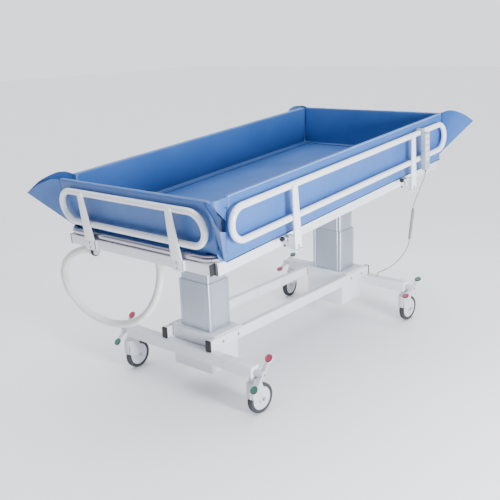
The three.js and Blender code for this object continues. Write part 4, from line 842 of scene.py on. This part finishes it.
print_face = MIRROR_V @ Matrix.Translation((0, 586.3, 0)) @ CROSSWISE
for row in range(4):
    for column in (-1, 1):
        a, b = HANDSET_U + column * 9.5, 110 + row * 35
        way = 1 if column < 0 else -1
        arrow = [(a - 6, b - way * 3), (a + 6, b - way * 3), (a, b + way * 6)]
        add_slab(bm, arrow if way > 0 else arrow[::-1], print_face, 0.25, 0.05, 1)
settle(bm, "handset_arrows", PLATFORM, key_ink, "rail_near")
bm = bmesh.new()
sleeve = [(3.05, 0), (4.6, 0), (4.6, -8), (4.0, -9), (4.0, -12), (3.6, -13), (3.05, -13), (3.05, 0)]
add_turned(bm, sleeve, Matrix.Translation((HANDSET_U, -573.5, 40.2)), 24)
settle(bm, "handset_strain_relief", PLATFORM, black_plastic, "rail_near", slot="handset_plastic")
bm = bmesh.new()
band = [(22, -30.3), (-22, -30.3)] + arc(0, -52.1, 22, 2, 4, 24)
bore = arc(0, -52.1, 19, 0, 4, 32)[:-1]
add_pierced(bm, band, bore, Matrix.Translation((0, 301, 0)) @ CROSSWISE, 14)
settle(bm, "hose_band", PLATFORM, black_plastic, "platform", ["hose_clip"])

# Liner
# A bath of PVC-coated fabric over foam, welded at its edges and clipped over the rim: a flat floor with a
# drain hole, two side walls that lean with the rails, two end walls, and folded ears at the corners.
# PVC-coated polyester fabric: knife coated and embossed, soft sheen, shallow creases where it was folded.
coated_fabric, shader = start_material(
    "pvc_coated_fabric", "liner_fabric", IOR=1.5, Sheen_Weight=0.12, Sheen_Roughness=0.4, Coat_Weight=0.15,
    Coat_Roughness=0.35,
)
where = add_node(coated_fabric, "TexCoord")
upright = add_node(coated_fabric, "Mapping", {"Vector": (where, 3), "Scale": (1.0, 1.0, 0.35)})
creases = add_node(
    coated_fabric, "TexNoise", {"Vector": (upright, 0), "Scale": 11.0, "Detail": 3.0, "Distortion": 0.6}
)
clouds = add_node(coated_fabric, "TexNoise", {"Vector": (where, 3), "Scale": 3.5, "Detail": 5.0})
tint = add_node(
    coated_fabric, "Mix", {0: (clouds, 0), 6: linear("2c5c9f"), 7: linear("3c6fb6")}, data_type="RGBA"
)
gloss = add_node(coated_fabric, "MapRange", {0: (clouds, 0), 1: 0.3, 2: 0.7, 3: 0.36, 4: 0.5})
weave = add_node(coated_fabric, "TexNoise", {"Vector": (where, 3), "Scale": 1100.0, "Detail": 1.0})
folds = add_node(coated_fabric, "Bump", {"Height": (creases, 0), "Strength": 0.35, "Distance": 0.006})
relief = add_node(
    coated_fabric, "Bump", {"Height": (weave, 0), "Strength": 0.1, "Distance": 0.0002, "Normal": (folds, 0)}
)
wire(coated_fabric, shader, (tint, 2), (gloss, 0), (relief, 0))
# A thin tape of the same fabric along each side wall's top edge, painted much paler than the wall: a painted
# highlight for the lit top edge.
highlight_tape = plain_finish("pvc_painted_highlight_tape", "liner_fabric", "7ba4d8", "8db2e0", (0.35, 0.45), 0.0012, 0.00005)
# A dark navy woven polyester, the fabric's uncoated back: seen in the hems, and used as painted shade on the
# dark sheet inside the near foot ear's pocket.
back_and_shade_fabric = plain_finish(
    "woven_back_and_painted_shade", "liner_fabric", "26375a", "31466e", (0.75, 0.9), 0.0009, 0.00015
)

MAT_U, MAT_HALF, MAT_W = (50, 1970), 451, (24.6, 60.6)
MAT_EDGE = 90  # how far the welded edge holds the mat's top flat
WALL_OUT, WALL_IN, WALL_TOP, SKIRT, RIM_TOP = 508, 480, 293, 22, 54.6


def liner_piece(bm, name, body="platform", replaced=(), material=coated_fabric):
    """Settles one piece of the liner, its fabric smooth over all but sharp folds."""
    return settle(bm, name, PLATFORM, material, body, replaced, 60)


def soft_block(low, high, corner, cuts):
    """A block with well rounded edges and enough faces to be shaped; returns its mesh."""
    bm = bmesh.new()
    add_bar(bm, low, high, corner, 4)
    for axis, count in enumerate(cuts):
        reach = (high[axis] - low[axis]) / 2
        long = [e for e in bm.edges if abs((e.verts[0].co - e.verts[1].co)[axis]) > reach]
        if count:
            bmesh.ops.subdivide_edges(bm, edges=long, cuts=count, use_grid_fill=True)
    return bm


def ripple(a, b, size, seed=0.0):
    """Smooth waviness of a hand-made surface, from -1 to 1, over a given size in millimetres."""
    return noise.noise(Vector((a / size, b / size, seed)))


def wall_place(s, w):
    """Where a side wall's point lies along the frame: its foot end slopes in, its head end leans out."""
    up = (w - SKIRT) / (WALL_TOP - SKIRT)
    start, stop = 44 + 40 * up, HEAD_LINE - 44 + 27 * up
    return start + (stop - start) * s / 1000


# floor mat: foam core, its top a little wavy between the welded edges, dipping at the drain hole
bm = soft_block((MAT_U[0], -MAT_HALF, MAT_W[0]), (MAT_U[1], MAT_HALF, MAT_W[1]), 9, (120, 60, 2))
for v in bm.verts:
    u, across, w = v.co
    if w > 50:
        edge_distance = min(u - MAT_U[0], MAT_U[1] - u, MAT_HALF - abs(across))
        inside = min(1, edge_distance / MAT_EDGE)
        v.co.z += 0.8 * ripple(u, across, 170, 1.3) * inside
        hole = math.hypot(u - DRAIN[0], across - DRAIN[1])
        v.co.z -= 3.0 * math.exp(-((hole / 34) ** 2))
floor = settle(bm, "liner_floor_mat", PLATFORM, coated_fabric, "platform", ["liner_floor"], 50)
bm = bmesh.new()
grate = [
    (0, 57.2), (9, 57.2), (9.6, 57.8), (17, 58.6), (19, 59.6), (21, 59.2), (21.6, 57.6), (21.6, 56), (0, 56),
    (0, 57.2),
]
add_turned(bm, grate, Matrix.Translation((*DRAIN, 0)), 40)
settle(bm, "drain_grate", PLATFORM, zinc_steel, "platform", slot="liner_fabric")

# cove: a strip of the same fabric welded to the mat bridges the rim tube all the way round
bm = bmesh.new()
before = []
for end_gap, side_gap, w in ((11, 34, 61), (8, 24, 61.9), (4.5, 13, 63.8), (1.8, 5, 67.5), (0.4, 0.8, 74)):
    outline = rounded(41 + end_gap, 1979 - end_gap, side_gap - 479.4, 479.4 - side_gap, 30, 8)
    verts = [bm.verts.new((a, b, w)) for a, b in outline]
    edges = [bm.edges.new(pair) for pair in zip(verts, verts[1:] + verts[:1])]
    if before:
        bmesh.ops.bridge_loops(bm, edges=before + edges)
    before = edges
bmesh.ops.solidify(bm, geom=bm.faces[:], thickness=2)
liner_piece(bm, "liner_cove")

for side, sign in SIDES:
    bm = soft_block((0, WALL_IN, RIM_TOP), (1000, WALL_OUT, WALL_TOP), 7, (130, 1, 22))
    for v in bm.verts:
        s, across, w = v.co
        u = wall_place(s, w)
        depth = (across - WALL_IN) / (WALL_OUT - WALL_IN)
        rise = min(1, max(0, (w - RIM_TOP) / (WALL_TOP - RIM_TOP)))
        swell = 4 * rise * (1 - rise) * min(1, 8 * s / 1000, 8 * (1 - s / 1000))
        wave = 2.2 * ripple(u, w * 0.6, 210, 3 * sign) + 0.9 * ripple(u, w * 0.4, 70, 7 * sign)
        v.co = (u, sign * (across + (depth - 0.5) * 2.6 * swell + wave * swell), w + 0.8 * wave * rise * 0.6)
    wall = liner_piece(bm, f"liner_side_wall_{side}", f"rail_{side}", [f"liner_wall_{side}"])
    # skirt: the fabric runs down outside the rim and ends in a welded hem
    bm = soft_block((0, 490.5, SKIRT), (1000, 507.5, RIM_TOP + 9), 3, (130, 1, 6))
    for v in bm.verts:
        s, across, w = v.co
        u = wall_place(s, w)
        v.co = (u, sign * (across + 0.7 * ripple(u, w, 90, 5 * sign)), w + 0.8 * ripple(u, 0, 120, 9))
    liner_piece(bm, f"liner_skirt_{side}", f"rail_{side}")
    # a pale tape along the wall's top outer edge: a painted highlight for the lit top edge
    bm = bmesh.new()
    top_places = [wall_place(i * 16, WALL_TOP) for i in range(63)]
    top_line = [Vector((u, sign * (WALL_OUT - 3), WALL_TOP - 1)) for u in top_places]
    for p in top_line:
        p.z += 1.0 * ripple(p.x, 200, 210, 3 * sign)
    draw_tube(bm, top_line, [2.2] * len(top_line), 10)
    liner_piece(bm, f"liner_painted_highlight_tape_{side}", f"rail_{side}", material=highlight_tape)
    bm = bmesh.new()
    hem_line = [Vector((wall_place(i * 20, SKIRT), sign * 505.5, SKIRT + 2)) for i in range(51)]
    draw_tube(bm, hem_line, [3.8] * len(hem_line), 10)
    liner_piece(bm, f"liner_hem_{side}", f"rail_{side}", material=back_and_shade_fabric)

END_FOOT, END_THICK, END_HALF, END_FOOT_HALF = 21, 25, 488, 422


def add_sheet(bm, start, end, bow=(0, 0, 0), wrinkle=0.0, seed=0.0):
    """A thin sheet of fabric spanned between two curves with as many points, a little bowed and creased."""
    start, end = [Vector(p) for p in start], [Vector(p) for p in end]
    columns = len(end) - 1
    for v in bmesh.ops.create_grid(bm, x_segments=columns, y_segments=14, size=0.5)["verts"]:
        t, r = v.co.x + 0.5, v.co.y + 0.5
        k = min(columns, max(0, round(t * columns)))
        crease = wrinkle * ripple(300 * t, 200 * r, 45, seed) * r * math.sin(math.pi * t)
        swell = math.sin(math.pi * t) * r * r + crease
        v.co = start[k].lerp(end[k], r) + Vector(bow) * swell
    faces = [f for f in bm.faces if f.tag is False]
    bmesh.ops.solidify(bm, geom=faces, thickness=2.4)
    for f in bm.faces:
        f.tag = True


def add_fan(bm, base, curve, bow=(0, 0, 0), wrinkle=0.0, seed=0.0):
    """A sheet that spreads from one corner to a curved edge."""
    edge = smooth_route([Vector(p) for p in curve], 8)
    add_sheet(bm, [base] * len(edge), edge, bow, wrinkle, seed)


for end, flip, seed in (("foot", UPRIGHT, 2.0), ("head", HEAD_FLIP, 6.0)):
    leaning = (
        flip @ Matrix.Translation((END_FOOT, 0, MAT_W[0])) @ Matrix.Rotation(-LEAN, 4, "Y")
        @ Matrix.Translation((0, 0, -MAT_W[0]))
    )
    bm = soft_block((0, -END_HALF, RIM_TOP), (END_THICK, END_HALF, WALL_TOP), 9, (1, 70, 22))
    for v in bm.verts:
        depth, across, w = v.co
        rise = min(1, max(0, (w - RIM_TOP) / (WALL_TOP - RIM_TOP)))
        swell = 4 * rise * (1 - rise) * min(1, (END_HALF - abs(across)) / 80)
        wave = 2.4 * ripple(across, w * 0.35, 60, seed) + 2.0 * ripple(across, w, 200, seed + 3)
        v.co = leaning @ Vector(
            (depth + (depth / END_THICK - 0.5) * 2.4 * swell + wave * swell, across, w + 0.5 * wave * rise)
        )
    wall = liner_piece(bm, f"liner_end_wall_{end}", "platform", [f"liner_end_{end}"])
    low, high = (0, -END_FOOT_HALF, MAT_W[0]), (END_THICK, END_FOOT_HALF, RIM_TOP + 10)
    bm = soft_block(low, high, 4, (1, 40, 2))
    bm.transform(leaning)
    liner_piece(bm, f"liner_end_foot_{end}")

# ears: at each corner the spare fabric is folded out in two layers that meet at the tip. One layer carries
# on from the end wall, the other from the side wall; each spreads from its wall's lower corner.
EARS = {
    "foot_far": (
        (22, 484, 58),
        [(-13.5, 486, 291), (-22, 528, 291), (-27, 547, 285.5), (-43, 620, 258), (-61, 700, 214)],
        (46, 505, 58), [
            (86, 502, 291), (74.7, 520, 300), (59, 541, 306), (38, 569, 305), (13.7, 601, 293),
            (-21.7, 648, 266), (-61, 700, 214),
        ],
    ),
    "head_near": (
        (1998, -484, 58),
        [(2033, -486, 291), (2038, -530, 300), (2042, -570, 302), (2046, -620, 286), (2050, -680, 250)],
        (1974, -507, 58), [
            (2003, -506, 293), (2006, -518, 303), (2012, -541, 310), (2019, -567, 311), (2027, -597, 304),
            (2035, -627, 289), (2043, -655, 269), (2050, -680, 250),
        ],
    ),
    "head_far": (
        (1998, 484, 58), [(2033, 486, 291), (2040, 530, 298), (2047, 590, 288), (2055, 668, 247)],
        (1974, 507, 58), [
            (2003, 506, 293), (2008, 523, 302), (2016, 547, 303), (2035, 607, 289), (2050, 650, 267),
            (2055, 668, 247),
        ],
    ),
}
for place, (end_base, end_curve, side_base, side_curve) in EARS.items():
    away = -1 if place.startswith("foot") else 1
    bm = bmesh.new()
    add_fan(bm, end_base, end_curve, (4 * away, 0, 0), 0.3, 2.0)
    add_fan(bm, side_base, side_curve, (-6 * away, 0, 0), 0.3, 5.0)
    liner_piece(bm, f"liner_ear_{place}")

# prow: at the near foot corner the ear stands out along the diagonal; its outer layer carries on from the
# end wall, a turned-back flap shows above it, and the pocket behind it opens towards the near side
PROW_FOOT, PROW_TIP = Vector((36, -499, 30)), Vector((-91, -613, 211))
bm = bmesh.new()
outer_curve = [(-13.7, -463, 288), (-30, -500, 264), (-52, -540, 243.6), (-92, -613.7, 211.3)]
add_fan(bm, PROW_FOOT, outer_curve, (-3, -1, 0), 0.3, 3.0)
outer_edge = smooth_route([Vector(p) + Vector((4, 2, 0)) for p in outer_curve], 8)
flap_edge = smooth_route([Vector(p) for p in (
    (-12, -478, 287), (-12, -512, 277), (-36, -550, 270), (-90, -612, 213)
)], 8)
count = min(len(outer_edge), len(flap_edge))
flap_step = (len(flap_edge) - 1) / (count - 1)
add_sheet(bm, outer_edge[:count], [flap_edge[round(i * flap_step)] for i in range(count)])
add_sheet(bm, [(8, -487, 74), (9, -490, 58), (11, -497, 40)], [(24, -498, 98), (29, -500, 64), PROW_FOOT])
liner_piece(bm, "liner_prow_outer_layer")
bm = bmesh.new()
add_sheet(
    bm, [(-10, -490, 262), (8, -505, 257.7), (35, -505, 228), (62, -506, 197.7)],
    [(-11, -482, 288), (18, -509, 292), (50, -507, 292), (82, -506, 293)],
)
add_sheet(
    bm, [PROW_FOOT.lerp(PROW_TIP, i / 8) for i in range(9)],
    [Vector((44, -507, 22)).lerp(Vector((57, -507, 148)), i / 8) for i in range(9)],
)
liner_piece(bm, "liner_prow_inner_layer")
# the pocket's back sheet in the dark navy fabric: painted shade for the shadowed inside of the pocket
bm = bmesh.new()
add_sheet(
    bm, [(30, -492, 30), (38, -493, 30), (43, -498, 30)], [(0, -492, 285), (40, -492, 285), (80, -492, 285)]
)
liner_piece(bm, "liner_prow_pocket_painted_shade", material=back_and_shade_fabric)

# Studio
# A pale seamless floor under a soft lamp on the handset's side and a broad ceiling light.
backdrop, shader = start_material("white_studio_floor", "white_paint")
where = add_node(backdrop, "TexCoord")
clouds = add_node(backdrop, "TexNoise", {"Vector": (where, 3), "Scale": 0.8, "Detail": 2.0})
tint = add_node(
    backdrop, "Mix", {0: (clouds, 0), 6: linear("f7f7f7"), 7: linear("fafafa")}, data_type="RGBA"
)
wire(backdrop, shader, (tint, 2))
shader.inputs["Roughness"].default_value = 0.9
bm = bmesh.new()
bmesh.ops.create_grid(bm, x_segments=1, y_segments=1, size=30000)
studio_floor = settle(bm, "studio_floor", FROM_MM, backdrop, None)

# the studio is bright beyond the object and dim behind the camera; the camera itself sees it evenly pale
world = bpy.data.worlds.new("studio")
bpy.context.scene.world = world
world.use_nodes = True
where = add_node(world, "TexCoord")
beyond = add_node(world, "VectorMath", {0: (where, 0), 1: (0.76, 0.65, 0.0)}, operation="DOT_PRODUCT")
strength = add_node(world, "MapRange", {0: (beyond, 1), 1: -0.5, 2: 0.6, 3: 0.06, 4: 1.0})
seen = add_node(world, "LightPath")
shown = add_node(world, "Mix", {0: (seen, 0), 2: (strength, 0), 3: 1.8}, data_type="FLOAT")
sky = world.node_tree.nodes["Background"]
sky.inputs["Color"].default_value = linear("f4f6fa")
world.node_tree.links.new(shown.outputs[0], sky.inputs["Strength"])


def add_light(name, kind, at, target, power, color):
    """A soft light aimed at a point."""
    data = bpy.data.lights.new(name, kind)
    data.energy, data.color = power, linear(color)[:3]
    lamp = bpy.data.objects.new(name, data)
    bpy.context.scene.collection.objects.link(lamp)
    lamp.location = at
    lamp.rotation_euler = (Vector(target) - Vector(at)).to_track_quat("-Z", "Y").to_euler()
    return data


add_light("key", "AREA", (-1.0, -4.5, 1.45), (0.1, 0, 0.8), 370, "f8faff").size = 1.1
add_light("ceiling", "SUN", (1.2, 2.2, 7.0), (1.0, 1.6, 0), 4.0, "f6f8ff").angle = math.radians(75)
